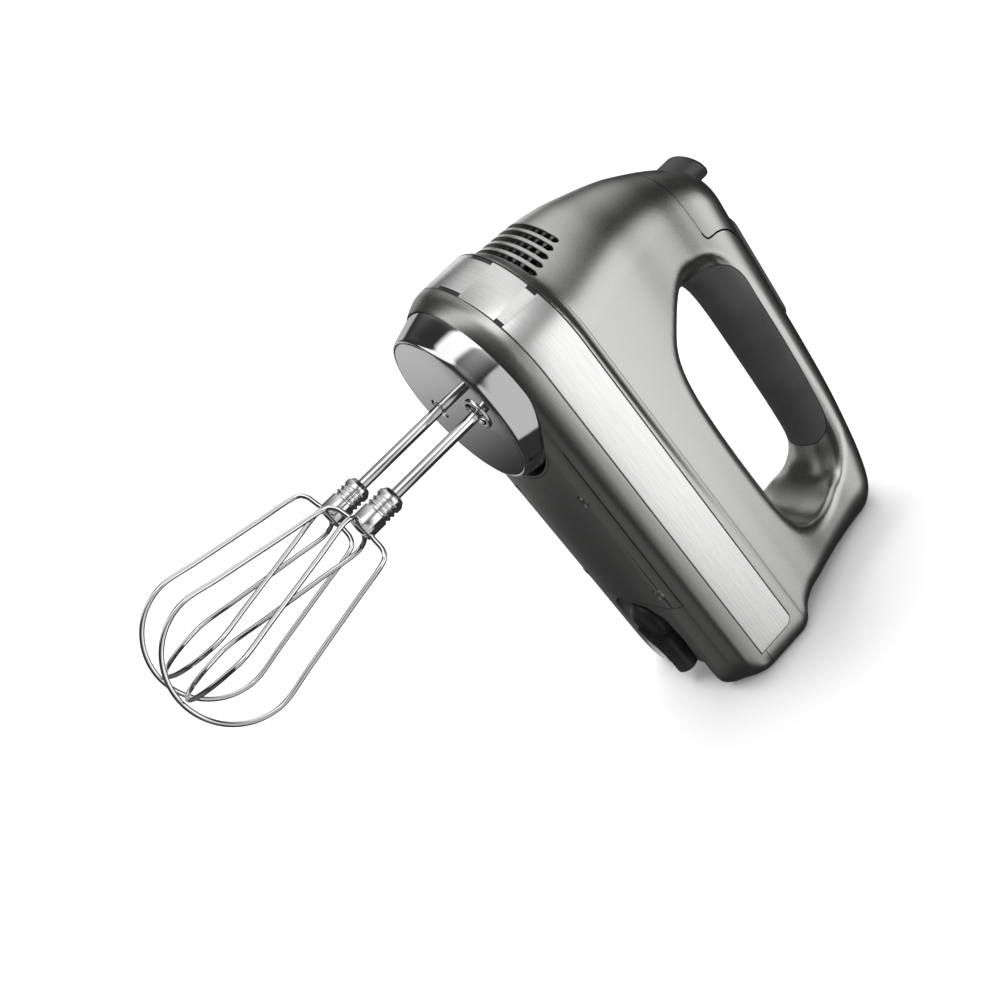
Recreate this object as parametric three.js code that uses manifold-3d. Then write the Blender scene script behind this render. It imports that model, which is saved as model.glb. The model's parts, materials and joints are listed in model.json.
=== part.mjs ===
// Hand mixer: a worm-driven twin-beater kitchen mixer, modelled piece by piece.
//
// Design frame (the frame of every dimension below, millimetres):
//   origin  centre of the round face plate, midway between the two beater shafts
//   +X      towards the nose      +Y  the user's left      +Z  up, towards the handle
// The exported group stands the mixer on its heel, nose up, the way it is put down
// between uses: +Z of the part is +X of the design frame, and the part's origin is
// on the flat heel.
import * as THREE from "three";
import { mergeVertices } from "three/addons/utils/BufferGeometryUtils.js";
import Module from "manifold-3d";

const wasm = await Module();
wasm.setup();

// ---------------------------------------------------------------- driving dimensions
const SHAFT_Y = 19; // half the spacing of the two beater shafts
const HEEL_X = -168; // plane of the heel
const HEEL_Z = 37.5; // height of the part's origin on the heel
const WALL = 3.0; // housing wall
const FLOOR = 4.6; // lower housing floor
const GAP = 0.3; // gap between fixed neighbours
const BAND = { z0: 22.6, z1: 43.0, x0: -156, t: 1.2 };
const SPLIT_Z = 25; // parting height of upper and lower housing
const COLLAR_R = 41; // rim radius of the chrome collar
const MOTOR_Z = 38; // motor axis height
const GEAR = { teeth: 24, pitchR: 15, tipR: 15.8, rootR: 13.2, h: 9 };
const WORM = { root: 2.9, tip: 5.3, lead: (2 * Math.PI * 15) / 24, turns: 4 };
const EJECT_TRAVEL = 6;
const SHAFT_R = 2.4; // beater shaft
const WIRE_R = 1.05; // beater wire
const HUB = { r: 5.7, z0: -46, z1: -65.4 };
const BEATER = { shoulderR: 16.2, shoulderZ: -69.6, maxR: 26.5, maxZ: -130.2, endZ: -156.1 };
// angle of the first rib at the shoulder and at the widest point, for each beater
const RIBS = { left: [140.9, 169.2], right: [147.1, 172.5] };
const SWIVEL = { x: -131, z: 7.6, tubeR: 5.1, boreR: 3.5, tubeEnd: -161 };

// heights and, at each, where the nose is, how wide the body is in front and behind
const FRONT = [
  // z, nose x, half width
  [2, 33, 33], [8, 38, 38], [12, 41, 41], [16, 43.2, 43.2], [20, 44.6, 44.6], [24, 45, 45],
  [43, 45, 45], [46, 43.0, 43.4], [49, 41.4, 42.4], [55, 40.6, 41.3], [67, 40.0, 38.8],
  [80, 38.2, 35.6], [95, 34.0, 31], [110, 28.8, 26.5], [120, 23.8, 23], [130, 18.0, 20],
  [140, 10.5, 18], [150, 0, 17], [160, -14, 16],
];
const REAR = [
  // z, rear x before the heel plane cuts it, half width
  [2, -165, 29], [8, -168.6, 35], [12, -169.8, 39], [16, -169.8, 42], [24, -169.8, 44],
  [45, -169.8, 44], [50, -169.4, 42.6], [54, -166.0, 41.6], [57, -164.6, 40.8], [62, -164.4, 39.2],
  [70, -165.0, 36.6], [85, -166.4, 30.6], [100, -168.2, 25.2], [115, -169.8, 20.6], [130, -170.4, 17.8],
  [160, -170.4, 16],
];
// crest of the handle
const CREST = [
  [-200, 98], [-172, 121], [-165, 126.2], [-157, 130], [-143, 134.3], [-130, 136.8], [-109, 139.8],
  [-84, 141.9], [-58, 143.5], [-20, 145.8], [0, 147.2], [15, 147.9], [60, 148.5],
];
// outline of the hand opening on the centre plane
const OPENING = [
  [-27, 106], [-29, 92], [-36, 81], [-50, 76], [-75, 74.5], [-108, 75], [-125, 76.5], [-135, 80],
  [-140.5, 88], [-141, 98], [-137.5, 108], [-129, 115.5], [-110, 117.2], [-75, 118], [-45, 118.4], [-32, 116],
];
// lower edge of the handle top cover, front to back
const COVER_EDGE = [
  [60, 104], [30.7, 111.4], [16, 117.6], [6.7, 119.8], [-3.4, 121], [-10, 123], [-16, 127], [-22, 133.5], [-30, 138.5],
  [-53, 140], [-87, 138], [-110, 134.2], [-124, 131], [-147, 126], [-160, 121.4], [-175, 116.5],
];

// ---------------------------------------------------------------- helpers
const lerp = (a, b, t) => a + (b - a) * t;
const clamp = (v, a, b) => Math.min(b, Math.max(a, v));
const rad = (d) => (d * Math.PI) / 180;
function table(rows, col) {
  const xs = rows.map((r) => r[0]);
  const ys = rows.map((r) => r[col]);
  return (x) => {
    if (x <= xs[0]) return ys[0];
    for (let i = 1; i < xs.length; i++)
      if (x <= xs[i]) return lerp(ys[i - 1], ys[i], (x - xs[i - 1]) / (xs[i] - xs[i - 1]));
    return ys[ys.length - 1];
  };
}
const noseX = table(FRONT, 1);
const noseW = table(FRONT, 2);
const rearX = table(REAR, 1);
const rearW = table(REAR, 2);
const crest = table(CREST, 1);

function toSolid(geometry) {
  let g = geometry.index ? geometry.clone() : geometry.clone();
  g.deleteAttribute("normal");
  g.deleteAttribute("uv");
  g = mergeVertices(g, 1e-4);
  return new wasm.Manifold(
    new wasm.Mesh({
      numProp: 3,
      vertProperties: new Float32Array(g.attributes.position.array),
      triVerts: new Uint32Array(g.index.array),
    }),
  );
}
function toGeometry(solid) {
  const m = solid.getMesh();
  const p = new Float32Array((m.vertProperties.length / m.numProp) * 3);
  for (let i = 0; i < p.length / 3; i++)
    for (let k = 0; k < 3; k++) p[3 * i + k] = m.vertProperties[i * m.numProp + k];
  const g = new THREE.BufferGeometry();
  g.setAttribute("position", new THREE.BufferAttribute(p, 3));
  g.setIndex(new THREE.BufferAttribute(new Uint32Array(m.triVerts), 1));
  g.computeVertexNormals();
  return g;
}
const join = (first, ...rest) => rest.reduce((a, b) => a.add(b), first);
const cut = (first, ...rest) => rest.reduce((a, b) => a.subtract(b), first);
const meet = (first, ...rest) => rest.reduce((a, b) => a.intersect(b), first);

// closed skin over a stack of rings with equal point counts
function loft(rings) {
  const n = rings[0].length;
  const p = [];
  const idx = [];
  rings.forEach((r) => r.forEach((q) => p.push(q[0], q[1], q[2])));
  const centre = (r) => r.reduce((a, q) => [a[0] + q[0] / n, a[1] + q[1] / n, a[2] + q[2] / n], [0, 0, 0]);
  const c0 = p.length / 3;
  p.push(...centre(rings[0]));
  p.push(...centre(rings[rings.length - 1]));
  for (let k = 0; k + 1 < rings.length; k++)
    for (let i = 0; i < n; i++) {
      const j = (i + 1) % n;
      const a = k * n + i, b = k * n + j, c = (k + 1) * n + j, d = (k + 1) * n + i;
      idx.push(a, b, c, a, c, d);
    }
  for (let i = 0; i < n; i++) {
    const j = (i + 1) % n;
    idx.push(c0, j, i);
    idx.push(c0 + 1, (rings.length - 1) * n + i, (rings.length - 1) * n + j);
  }
  const g = new THREE.BufferGeometry();
  g.setAttribute("position", new THREE.BufferAttribute(new Float32Array(p), 3));
  g.setIndex(idx);
  const s = toSolid(g);
  if (s.volume() > 0) return s;
  for (let i = 0; i < idx.length; i += 3) [idx[i + 1], idx[i + 2]] = [idx[i + 2], idx[i + 1]];
  g.setIndex(idx);
  return toSolid(g);
}
const box = (x0, x1, y0, y1, z0, z1) =>
  toSolid(new THREE.BoxGeometry(x1 - x0, y1 - y0, z1 - z0).translate((x0 + x1) / 2, (y0 + y1) / 2, (z0 + z1) / 2));
// cylinder along an axis from a to b on that axis
function rod(axis, r, a, b, u = 0, v = 0, seg = 24, r2 = r) {
  const g = new THREE.CylinderGeometry(r2, r, b - a, seg);
  if (axis === "z") return toSolid(g.rotateX(Math.PI / 2).translate(u, v, (a + b) / 2));
  if (axis === "x") return toSolid(g.rotateZ(-Math.PI / 2).translate((a + b) / 2, u, v));
  return toSolid(g.translate(u, (a + b) / 2, v));
}
// turned piece about a line parallel to an axis; profile is [radius, height] pairs
function turned(profile, axis, u = 0, v = 0, seg = 32) {
  const pts = profile.map(([r, h]) => new THREE.Vector2(r, h));
  if (pts[0].x > 1e-6) pts.push(pts[0].clone());
  const g = new THREE.LatheGeometry(pts, seg);
  if (axis === "z") g.rotateX(Math.PI / 2).translate(u, v, 0);
  else if (axis === "x") g.rotateZ(-Math.PI / 2).translate(0, u, v);
  const s = toSolid(g);
  if (s.volume() > 0) return s;
  const flipped = toSolidFlipped(g);
  return flipped;
}
function toSolidFlipped(geometry) {
  let g = geometry.clone();
  g.deleteAttribute("normal");
  g.deleteAttribute("uv");
  g = mergeVertices(g, 1e-4);
  const t = new Uint32Array(g.index.array);
  for (let i = 0; i < t.length; i += 3) [t[i + 1], t[i + 2]] = [t[i + 2], t[i + 1]];
  return new wasm.Manifold(
    new wasm.Mesh({ numProp: 3, vertProperties: new Float32Array(g.attributes.position.array), triVerts: t }),
  );
}
function outline(points) {
  return new THREE.Shape(points.map(([x, y]) => new THREE.Vector2(x, y)));
}
// prism of an outline in X-Z, along Y
function prismXZ(points, y0, y1) {
  const g = new THREE.ExtrudeGeometry(outline(points), { depth: y1 - y0, bevelEnabled: false });
  // shape plane (x, z) extruded along -Y after the turn
  return toSolid(g.rotateX(Math.PI / 2).translate(0, y1, 0));
}
function prismXY(points, z0, z1) {
  return toSolid(new THREE.ExtrudeGeometry(outline(points), { depth: z1 - z0, bevelEnabled: false }).translate(0, 0, z0));
}
function prismYZ(points, x0, x1) {
  const g = new THREE.ExtrudeGeometry(outline(points), { depth: x1 - x0, bevelEnabled: false });
  // shape plane (y, z) along +X
  g.rotateX(Math.PI / 2).rotateZ(Math.PI / 2);
  return toSolid(g.translate(x0, 0, 0));
}
function roundRect(cx, cy, w, h, r, n = 4) {
  const pts = [];
  for (const [sx, sy, a0] of [[1, 1, 0], [-1, 1, 90], [-1, -1, 180], [1, -1, 270]])
    for (let i = 0; i <= n; i++) {
      const a = rad(a0 + (90 * i) / n);
      pts.push([cx + sx * (w / 2 - r) + r * Math.cos(a), cy + sy * (h / 2 - r) + r * Math.sin(a)]);
    }
  return pts;
}
function tube(points, r, steps, sides = 7, closed = false) {
  const curve = new THREE.CatmullRomCurve3(points.map((p) => new THREE.Vector3(...p)), closed, "centripetal");
  const ring = [];
  for (let i = 0; i < sides; i++) ring.push([r * Math.cos((2 * Math.PI * i) / sides), r * Math.sin((2 * Math.PI * i) / sides)]);
  return toSolid(new THREE.ExtrudeGeometry(outline(ring), { steps, bevelEnabled: false, extrudePath: curve }));
}

const root = new THREE.Group();
const design = new THREE.Group();
design.rotation.y = -Math.PI / 2;
design.position.set(HEEL_Z, 0, -HEEL_X);
root.add(design);

const LOOK = {
  silver: [0xb9b7b3, 0.42, 0.55],
  steel: [0xdededc, 0.3, 0.9],
  chrome: [0xe6e6e6, 0.07, 1.0],
  rubber: [0x474747, 0.85, 0.0],
  dark: [0x343434, 0.5, 0.0],
  black: [0x171717, 0.55, 0.0],
  gloss: [0x101214, 0.12, 0.0],
  nylon: [0xe8e4d6, 0.6, 0.0],
  copper: [0xb8673a, 0.35, 0.9],
  iron: [0x6d6f73, 0.5, 0.8],
  alloy: [0xa8aaad, 0.45, 0.9],
  bronze: [0xa0763f, 0.4, 0.9],
  board: [0x1f5a35, 0.6, 0.0],
  carbon: [0x26282a, 0.7, 0.1],
  zinc: [0xc7cad0, 0.3, 1.0],
};
function add(name, solid, look, parent = design) {
  const [color, roughness, metalness] = LOOK[look];
  const mesh = new THREE.Mesh(toGeometry(solid), new THREE.MeshStandardMaterial({ color, roughness, metalness }));
  mesh.name = name;
  parent.add(mesh);
  return mesh;
}

// ---------------------------------------------------------------- body form
// Outline of the body at height z, moved inwards by d.
function ringAt(z, d, clampHeel = true, NF = d >= WALL ? 8 : 12, NC = d >= WALL ? 3 : 4) {
  const xf = noseX(z) - d;
  const wf = noseW(z) - d;
  const wr = rearW(z) - d;
  const xr = rearX(z) + d;
  const xc = noseX(z) - noseW(z);
  const b = table([[5, 28], [20, 17], [60, 15], [85, 17], [110, 19]], 1)(z) - d;
  const n = table([[20, 3.0], [60, 2.7], [110, 2.3]], 1)(z);
  const xb = xr + b;
  const pts = [];
  for (let i = 0; i <= NF; i++) {
    const a = rad(-90 + (180 * i) / NF);
    pts.push([xc + (xf - xc) * Math.cos(a), wf * Math.sin(a), z]);
  }
  const width = (x) => {
    const t = clamp((xc - x) / (xc - xb), 0, 1);
    return wf + (wr - wf) * (t * t * (3 - 2 * t) * 0.5 + t * 0.5);
  };
  const left = [];
  for (const t of d >= WALL ? [0.5] : [0.33, 0.66]) {
    const x = lerp(xc, xb, t);
    left.push([x, width(x), z]);
  }
  for (let i = 0; i <= NC; i++) {
    const a = rad((90 * i) / NC);
    left.push([xb - b * Math.pow(Math.sin(a), 2 / n), wr * Math.pow(Math.cos(a), 2 / n), z]);
  }
  left[left.length - 1][1] = 0;
  pts.push(...left);
  for (let i = left.length - 2; i >= 0; i--) pts.push([left[i][0], -left[i][1], z]);
  if (clampHeel) for (const p of pts) p[0] = Math.max(p[0], HEEL_X + d);
  return pts;
}
const LEVELS = [2, 8, 12, 16, 20, 24, 43, 46.5, 50, 67, 80, 95, 110, 122, 132, 142, 158];
const LEVELS_IN = [2, 12, 22, 43, 48, 67, 90, 115, 138, 158];
function sideForm(d, levels = LEVELS) {
  return loft(levels.map((z) => ringAt(z, d)));
}
// everything under the crest of the handle and over the belly
function crestForm(d, belly) {
  const xs = d >= WALL ? [-180, -160, -140, -100, -50, 0, 50] : [-180, -168, -160, -147, -130, -105, -75, -40, 0, 50];
  const ys = d >= WALL ? [-50, -17.5, -8, 8, 17.5, 50] : [-50, -30, -17.5, -13.5, -7, 7, 13.5, 17.5, 30, 50];
  const drop = (y) => {
    const a = Math.abs(y);
    return a <= 8 ? 0.8 * (a / 8) ** 2 : a <= 13.5 ? lerp(0.8, 3.6, (a - 8) / 5.5) : a <= 17.5 ? lerp(3.6, 9, (a - 13.5) / 4) : 9 + (a - 17.5) * 2.2;
  };
  const under = (y) => belly + 3.0 * (Math.abs(y) / 38) ** 2;
  const rings = xs.map((x) => {
    const top = ys.map((y) => [x, y, crest(x) - drop(y) - d]);
    const low = [...ys].reverse().map((y) => [x, y, under(y)]);
    return [...low, ...top];
  });
  return loft(rings);
}
// the hand opening, grown by d, flared towards both sides
function smoothed(pts) {
  let out = pts;
  for (let k = 0; k < 1; k++) {
    const next = [];
    out.forEach((p, i) => {
      const q = out[(i + 1) % out.length];
      next.push([0.75 * p[0] + 0.25 * q[0], 0.75 * p[1] + 0.25 * q[1]], [0.25 * p[0] + 0.75 * q[0], 0.25 * p[1] + 0.75 * q[1]]);
    });
    out = next;
  }
  return out;
}
const OPEN_IN = smoothed(OPENING);
const OPEN_NORMALS = OPEN_IN.map((_, i) => {
  const a = OPEN_IN[(i + OPEN_IN.length - 1) % OPEN_IN.length];
  const b = OPEN_IN[(i + 1) % OPEN_IN.length];
  const n = [b[1] - a[1], a[0] - b[0]];
  const l = Math.hypot(...n);
  return [n[0] / l, n[1] / l];
});
const centreOpen = [-85, 96];
const OUTWARD = (OPEN_IN[0][0] - centreOpen[0]) * OPEN_NORMALS[0][0] + (OPEN_IN[0][1] - centreOpen[1]) * OPEN_NORMALS[0][1] > 0 ? 1 : -1;
function openingForm(d) {
  const ys = d >= WALL ? [-60, -24, -16, -9, 9, 16, 24, 60] : [-60, -34, -24, -18.5, -14, -9, 9, 14, 18.5, 24, 34, 60];
  const every = d >= WALL ? 2 : 1;
  return loft(
    ys.map((y) =>
      OPEN_IN.flatMap(([x, z], i) => {
        if (i % every) return [];
        const a = Math.abs(y);
        const corner = clamp((x + 60) / 45, 0, 1) * clamp((z - 80) / 30, 0, 1);
        const roof = clamp((z - 100) / 12, 0, 1) * clamp((x + 150) / 20, 0, 1);
        const side = Math.max(a - 9, 0) * (0.12 + 0.5 * corner);
        const arch = 15 * (1 - Math.sqrt(1 - (Math.min(a, 18) / 19) ** 2)) * roof;
        const lip = a > 22 ? Math.min((a - 22) * 0.25, 3) : 0;
        const g = d + Math.min(Math.max(side, arch) + lip * (1 - roof), 22);
        return [[x + OUTWARD * OPEN_NORMALS[i][0] * g, y, z + OUTWARD * OPEN_NORMALS[i][1] * g]];
      }),
    ),
  );
}
const outer = cut(meet(sideForm(0), crestForm(0, 5.5)), openingForm(0));
const GRIP_T = 2.0; // rubber sleeve, let into the handle
const hollow = (d, z0, z1) =>
  meet(cut(meet(sideForm(d, LEVELS_IN), crestForm(WALL + 0.2, 5.5 + FLOOR)), openingForm(d)), box(-200, 60, -60, 60, z0, z1));
const cavity = join(hollow(WALL, -10, 101), hollow(WALL + GRIP_T + GAP, 100, 200));
let shell = cut(outer, cavity);

// recess for the trim band
const bandRing = (d) =>
  loft([BAND.z0 - 0.3, BAND.z1 + 0.3].map((z) => ringAt(z, d)));
const bandSlab = meet(cut(bandRing(-2), bandRing(BAND.t + GAP)), box(BAND.x0 - GAP, 60, -60, 60, BAND.z0 - GAP, BAND.z1 + GAP));
shell = cut(shell, bandSlab);

// ---------------------------------------------------------------- handle top cover
function coverPrism(dz) {
  const pts = COVER_EDGE.map(([x, z]) => [x, z + dz]);
  return prismXZ([...pts, [-175, 200], [60, 200]], -60, 60);
}
const BUTTONS = {
  // centre x, half length x, half width y
  speed_up_button: [-45, 3.6, 6.5],
  speed_down_button: [-55, 3.6, 6.5],
  power_button: [-67, 4.2, 5.0],
};
const DISPLAY = { x0: -38, x1: -22, w: 8 };
const KNOB = { x: 6.2, rx: 8.6, ry: 9.2 };
let cover = meet(shell, coverPrism(0.15));
const knobHole = prismXY(
  Array.from({ length: 24 }, (_, i) => [KNOB.x + KNOB.rx * Math.cos((2 * Math.PI * i) / 24), KNOB.ry * Math.sin((2 * Math.PI * i) / 24)]),
  125.5,
  170,
);
cover = cut(cover, knobHole);
// raised pad that carries the display and the keys
const padShape = roundRect(-46.5, 0, 54, 19, 6, 3);
const padTop = 1.1;
const padRings = (grow, z) => padShape.map(([x, y]) => [x + Math.sign(x + 46.5) * grow, y + Math.sign(y) * grow, z(x, y)]);
const pad = loft([padRings(0, (x) => crest(x) - 2.0), padRings(0, (x) => crest(x) + padTop - 0.5), padRings(-0.7, (x) => crest(x) + padTop)]);
cover = join(cover, pad);
const pocket = (cx, hx, hy, depth) =>
  prismXY(roundRect(cx, 0, 2 * hx, 2 * hy, Math.min(hx, hy) * 0.6, 3), crest(cx) + padTop - depth, 170);
for (const [cx, hx, hy] of Object.values(BUTTONS)) cover = cut(cover, pocket(cx, hx + 0.35, hy + 0.35, 12));
cover = cut(cover, prismXY(roundRect((DISPLAY.x0 + DISPLAY.x1) / 2, 0, DISPLAY.x1 - DISPLAY.x0 + 0.6, 2 * DISPLAY.w + 0.6, 2.5, 3), crest(-30) + padTop - 2.2, 170));
add("handle_top_cover", cover, "silver");
add(
  "display_window",
  loft([
    roundRect(-30, 0, 16, 16, 2.3, 3).map(([x, y]) => [x, y, crest(-30) + padTop - 1.9]),
    roundRect(-30, 0, 16, 16, 2.3, 3).map(([x, y]) => [x, y, crest(x) + padTop - 0.2]),
    roundRect(-30, 0, 14.6, 14.6, 2, 3).map(([x, y]) => [x, y, crest(x) + padTop + 0.35]),
  ]),
  "gloss",
);
for (const [name, [cx, hx, hy]] of Object.entries(BUTTONS)) {
  const z = crest(cx) + padTop;
  const ring = (g, zz) => roundRect(cx, 0, 2 * (hx - g), 2 * (hy - g), Math.min(hx - g, hy - g) * 0.6, 3).map(([x, y]) => [x, y, zz]);
  add(name, loft([ring(0, z - 4.2), ring(0, z + 0.7), ring(1.0, z + 1.5)]), "dark");
}
add("keypad_membrane", meet(box(-73, -39, -8, 8, 100, 140).intersect(box(-73, -39, -8, 8, crest(-56) - 6.9, crest(-56) - 5.6))), "rubber");
add("control_board", box(-76, -20, -9, 9, crest(-56) - 8.9, crest(-56) - 7.3), "board");

// ---------------------------------------------------------------- housings
const under = (dz) => prismXZ([...COVER_EDGE.map(([x, z]) => [x, z - dz]), [-175, -20], [60, -20]], -60, 60);
// sleeve that wraps the underside and sides of the handle
const gripRegion = (g) => prismXZ(roundRect(-75, 119.8, 99 + 2 * g, 23.4 + 2 * g, 11 + g, 4), -40, 40);
const inset = (d) => cut(meet(sideForm(d - 1e-3), crestForm(d, 5.5)), openingForm(d));
const handleOnly = box(-200, 60, -60, 60, 108, 200);
const gripSolid = cut(meet(outer, gripRegion(0), handleOnly), inset(GRIP_T)).decompose().sort((p, q) => q.volume() - p.volume())[0];
let upper = meet(shell, under(0.15), box(-200, 60, -60, 60, SPLIT_Z + 0.15, 200));
upper = cut(upper, cut(gripRegion(GAP), join(inset(GRIP_T + GAP), box(-200, 60, -60, 60, 0, 107.7))));
// vent slots in the nose
const VENT = [];
for (let row = 0; row < 5; row++) {
  const z = 49.6 + row * 4.4;
  const half = 42 - row * 2.5;
  VENT.push({ z, half });
}
for (const { z, half } of VENT) {
  const a = half;
  const wedge = [];
  const c = noseX(z) - noseW(z);
  for (let i = 0; i <= 3; i++) wedge.push([c + 70 * Math.cos(rad(lerp(-a, a, i / 3))), 70 * Math.sin(rad(lerp(-a, a, i / 3)))]);
  for (let i = 3; i >= 0; i--) wedge.push([c + 25 * Math.cos(rad(lerp(-a, a, i / 3))), 25 * Math.sin(rad(lerp(-a, a, i / 3)))]);
  upper = cut(upper, prismXY(wedge, z - 1.1, z + 1.1));
}
// screw bosses
const SCREWS = [[-54, 30.5], [-54, -30.5], [-108, 30.5], [-108, -30.5]];
const boss = (x, y, z0, z1) => join(rod("z", 3.8, z0, z1, x, y, 16), box(x - 1.25, x + 1.25, Math.min(y, Math.sign(y) * 44), Math.max(y, Math.sign(y) * 44), z0, z1));
for (const [x, y] of SCREWS) upper = cut(join(upper, meet(boss(x, y, SPLIT_Z + 0.15, 42), outer)), rod("z", 1.6, 20, 39, x, y, 12));
upper = cut(upper, bandSlab);
// the wells of the keys and of the knob run on below the cover
upper = cut(upper, knobHole);
for (const [cx, hx, hy] of Object.values(BUTTONS)) upper = cut(upper, pocket(cx, hx + 0.35, hy + 0.35, 7.5));
add("upper_housing", upper.decompose().sort((a, b) => b.volume() - a.volume())[0], "silver");
add("handle_grip", gripSolid, "rubber");

let lower = meet(shell, box(-200, 60, -60, 60, -10, SPLIT_Z - 0.15));
// seat of the chrome collar
lower = cut(lower, rod("z", COLLAR_R + 0.5, -5, 14.1, 0, 0, 36));
// pocket for the cord swivel, open below and behind
const pocketShape = [[-118, -12], [-118, 12], [-124, 21], [-152, 24.5], [-175, 24.5], [-175, -24.5], [-152, -24.5], [-124, -21]];
const grown = pocketShape.map(([x, y]) => [x + (x > -130 ? 2.4 : -2.4), y + Math.sign(y) * 2.4]);
lower = join(lower, meet(prismXY(grown, 4, 17.6), outer));
lower = cut(lower, prismXY(pocketShape, -5, 15.0), rod("z", 4.4, 10, 20, SWIVEL.x, 0, 20));
for (const [x, y] of SCREWS) lower = join(lower, meet(boss(x, y, 8, SPLIT_Z - 0.15), outer));
// recess for the bottom cover, with its screw holes
const coverOutline = roundRect(-79.5, 0, 73, 70, 12, 4);
const coverRecess = cut(meet(prismXY(roundRect(-79.5, 0, 73.6, 70.6, 12.3, 4), -5, 20), box(-200, 60, -60, 60, -5, 20)), box(-200, 60, -60, 60, 8.2, 30));
lower = cut(lower, cut(coverRecess, rod("z", COLLAR_R + 1.6, -6, 30, 0, 0, 36)));
for (const [x, y] of SCREWS) lower = cut(lower, rod("z", 1.9, 0, 30, x, y, 12));
lower = cut(lower, bandSlab);
add("lower_housing", lower.decompose().sort((a, b) => b.volume() - a.volume())[0], "silver");

let bottom = meet(outer, prismXY(coverOutline, -5, 20), box(-200, 60, -60, 60, 0, 7.9));
bottom = cut(bottom, rod("z", COLLAR_R + 1.9, -6, 30, 0, 0, 36));
for (const [x, y] of SCREWS) bottom = cut(bottom, rod("z", 1.9, 0, 30, x, y, 12));
add("bottom_cover", bottom.decompose().sort((a, b) => b.volume() - a.volume())[0], "silver");
SCREWS.forEach(([x, y], i) => {
  const zf = 5.5 + 3.0 * (y / 38) ** 2 - 0.35;
  add("cover_screw_" + (i + 1), join(rod("z", 3.0, zf - 1.6, zf, x, y, 14), rod("z", 1.3, zf - 0.2, 37, x, y, 10)), "zinc");
});

// trim band
const band = meet(cut(bandRing(0.02), bandRing(BAND.t)), box(BAND.x0, 60, -60, 60, BAND.z0, BAND.z1));
add("trim_band", band, "steel");

// ---------------------------------------------------------------- nose: collar, plate, vent grille
add(
  "chrome_collar",
  turned([[33.4, 0.4], [36.9, 1.4], [38.5, 3.6], [39.6, 8], [COLLAR_R, 13.7], [39.4, 13.7], [38.0, 8.4], [37.0, 4.8], [35.9, 3.2], [33.4, 2.2]], "z", 0, 0, 36),
  "chrome",
);
add(
  "collar_plate",
  cut(
    join(turned([[0, 0], [33.0, 0], [33.0, 2.2], [0, 2.2]], "z", 0, 0, 40), rod("z", 7.4, -0.9, 1, 0, SHAFT_Y, 28)),
    rod("z", 5.4, -3, 5, 0, SHAFT_Y, 24),
    rod("z", 5.0, -3, 5, 0, -SHAFT_Y, 24),
  ),
  "chrome",
);
// upright bars behind the vent slots
{
  const arc = (r, a) => [1 + r * Math.cos(rad(a)), r * Math.sin(rad(a))];
  const strip = (r0, r1, a0, a1, z0, z1, n) => {
    const pts = [];
    for (let i = 0; i <= n; i++) pts.push(arc(r1, lerp(a0, a1, i / n)));
    for (let i = n; i >= 0; i--) pts.push(arc(r0, lerp(a0, a1, i / n)));
    return prismXY(pts, z0, z1);
  };
  let grille = join(strip(33.1, 34.3, -46, 46, 45.6, 47.2, 6), strip(33.1, 34.3, -46, 46, 70, 71.6, 6));
  for (let k = -3; k <= 3; k++) grille = join(grille, strip(33.1, 34.3, k * 13.5 - 2, k * 13.5 + 2, 47, 70.2, 1));
  add("vent_grille", grille, "black");
}

// ---------------------------------------------------------------- motor
const stator = cut(
  prismYZ(roundRect(0, MOTOR_Z, 46, 44, 6, 3), -76, -46),
  rod("x", 15, -80, -40, 0, MOTOR_Z, 28),
  box(-80, -40, 16.5, 21, MOTOR_Z - 11, MOTOR_Z + 11),
  box(-80, -40, -21, -16.5, MOTOR_Z - 11, MOTOR_Z + 11),
  box(-80, -40, 10, 17.5, MOTOR_Z - 7, MOTOR_Z + 7),
  box(-80, -40, -17.5, -10, MOTOR_Z - 7, MOTOR_Z + 7),
);
add("stator_core", stator, "iron");
for (const [name, s] of [["field_coil_left", 1], ["field_coil_right", -1]]) {
  const y0 = s > 0 ? 16.9 : -20.6;
  add(
    name,
    cut(box(-83, -39, y0, y0 + 3.7, MOTOR_Z - 10.6, MOTOR_Z + 10.6), box(-75.7 - 0.6, -46.3 + 0.6, y0 - 1, y0 + 5, MOTOR_Z - 6, MOTOR_Z + 6)),
    "copper",
  );
}
const thread = (() => {
  const rings = [];
  const per = 8;
  const n = WORM.turns * per;
  for (let i = 0; i <= n; i++) {
    const a = (2 * Math.PI * i) / per - WORM.turns * Math.PI;
    const x = (WORM.lead * a) / (2 * Math.PI);
    const p = (r, dx) => [x + dx, r * Math.cos(a), MOTOR_Z + r * Math.sin(a)];
    rings.push([p(2.4, -0.95), p(WORM.tip, -0.5), p(WORM.tip, 0.5), p(2.4, 0.95)]);
  }
  return loft(rings);
})();
add("motor_shaft", join(rod("x", WORM.root, -16, 16, 0, MOTOR_Z, 16), rod("x", 2.4, -117, 22.5, 0, MOTOR_Z, 16), thread), "zinc");
add("armature_core", cut(rod("x", 14.3, -75, -47, 0, MOTOR_Z, 30), rod("x", 2.7, -80, -40, 0, MOTOR_Z, 16)), "iron");
const ringX = (r0, r1, x0, x1, seg = 24) => cut(rod("x", r1, x0, x1, 0, MOTOR_Z, seg), rod("x", r0, x0 - 1, x1 + 1, 0, MOTOR_Z, 16));
add("armature_winding_front", turned([[2.8, -46.7], [11.5, -46.7], [12.6, -43.5], [10.2, -40.2], [2.8, -39.8]], "x", 0, MOTOR_Z, 24), "copper");
add("armature_winding_rear", turned([[2.8, -82.2], [10.2, -81.8], [12.6, -78.5], [11.5, -75.3], [2.8, -75.3]], "x", 0, MOTOR_Z, 24), "copper");
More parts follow.
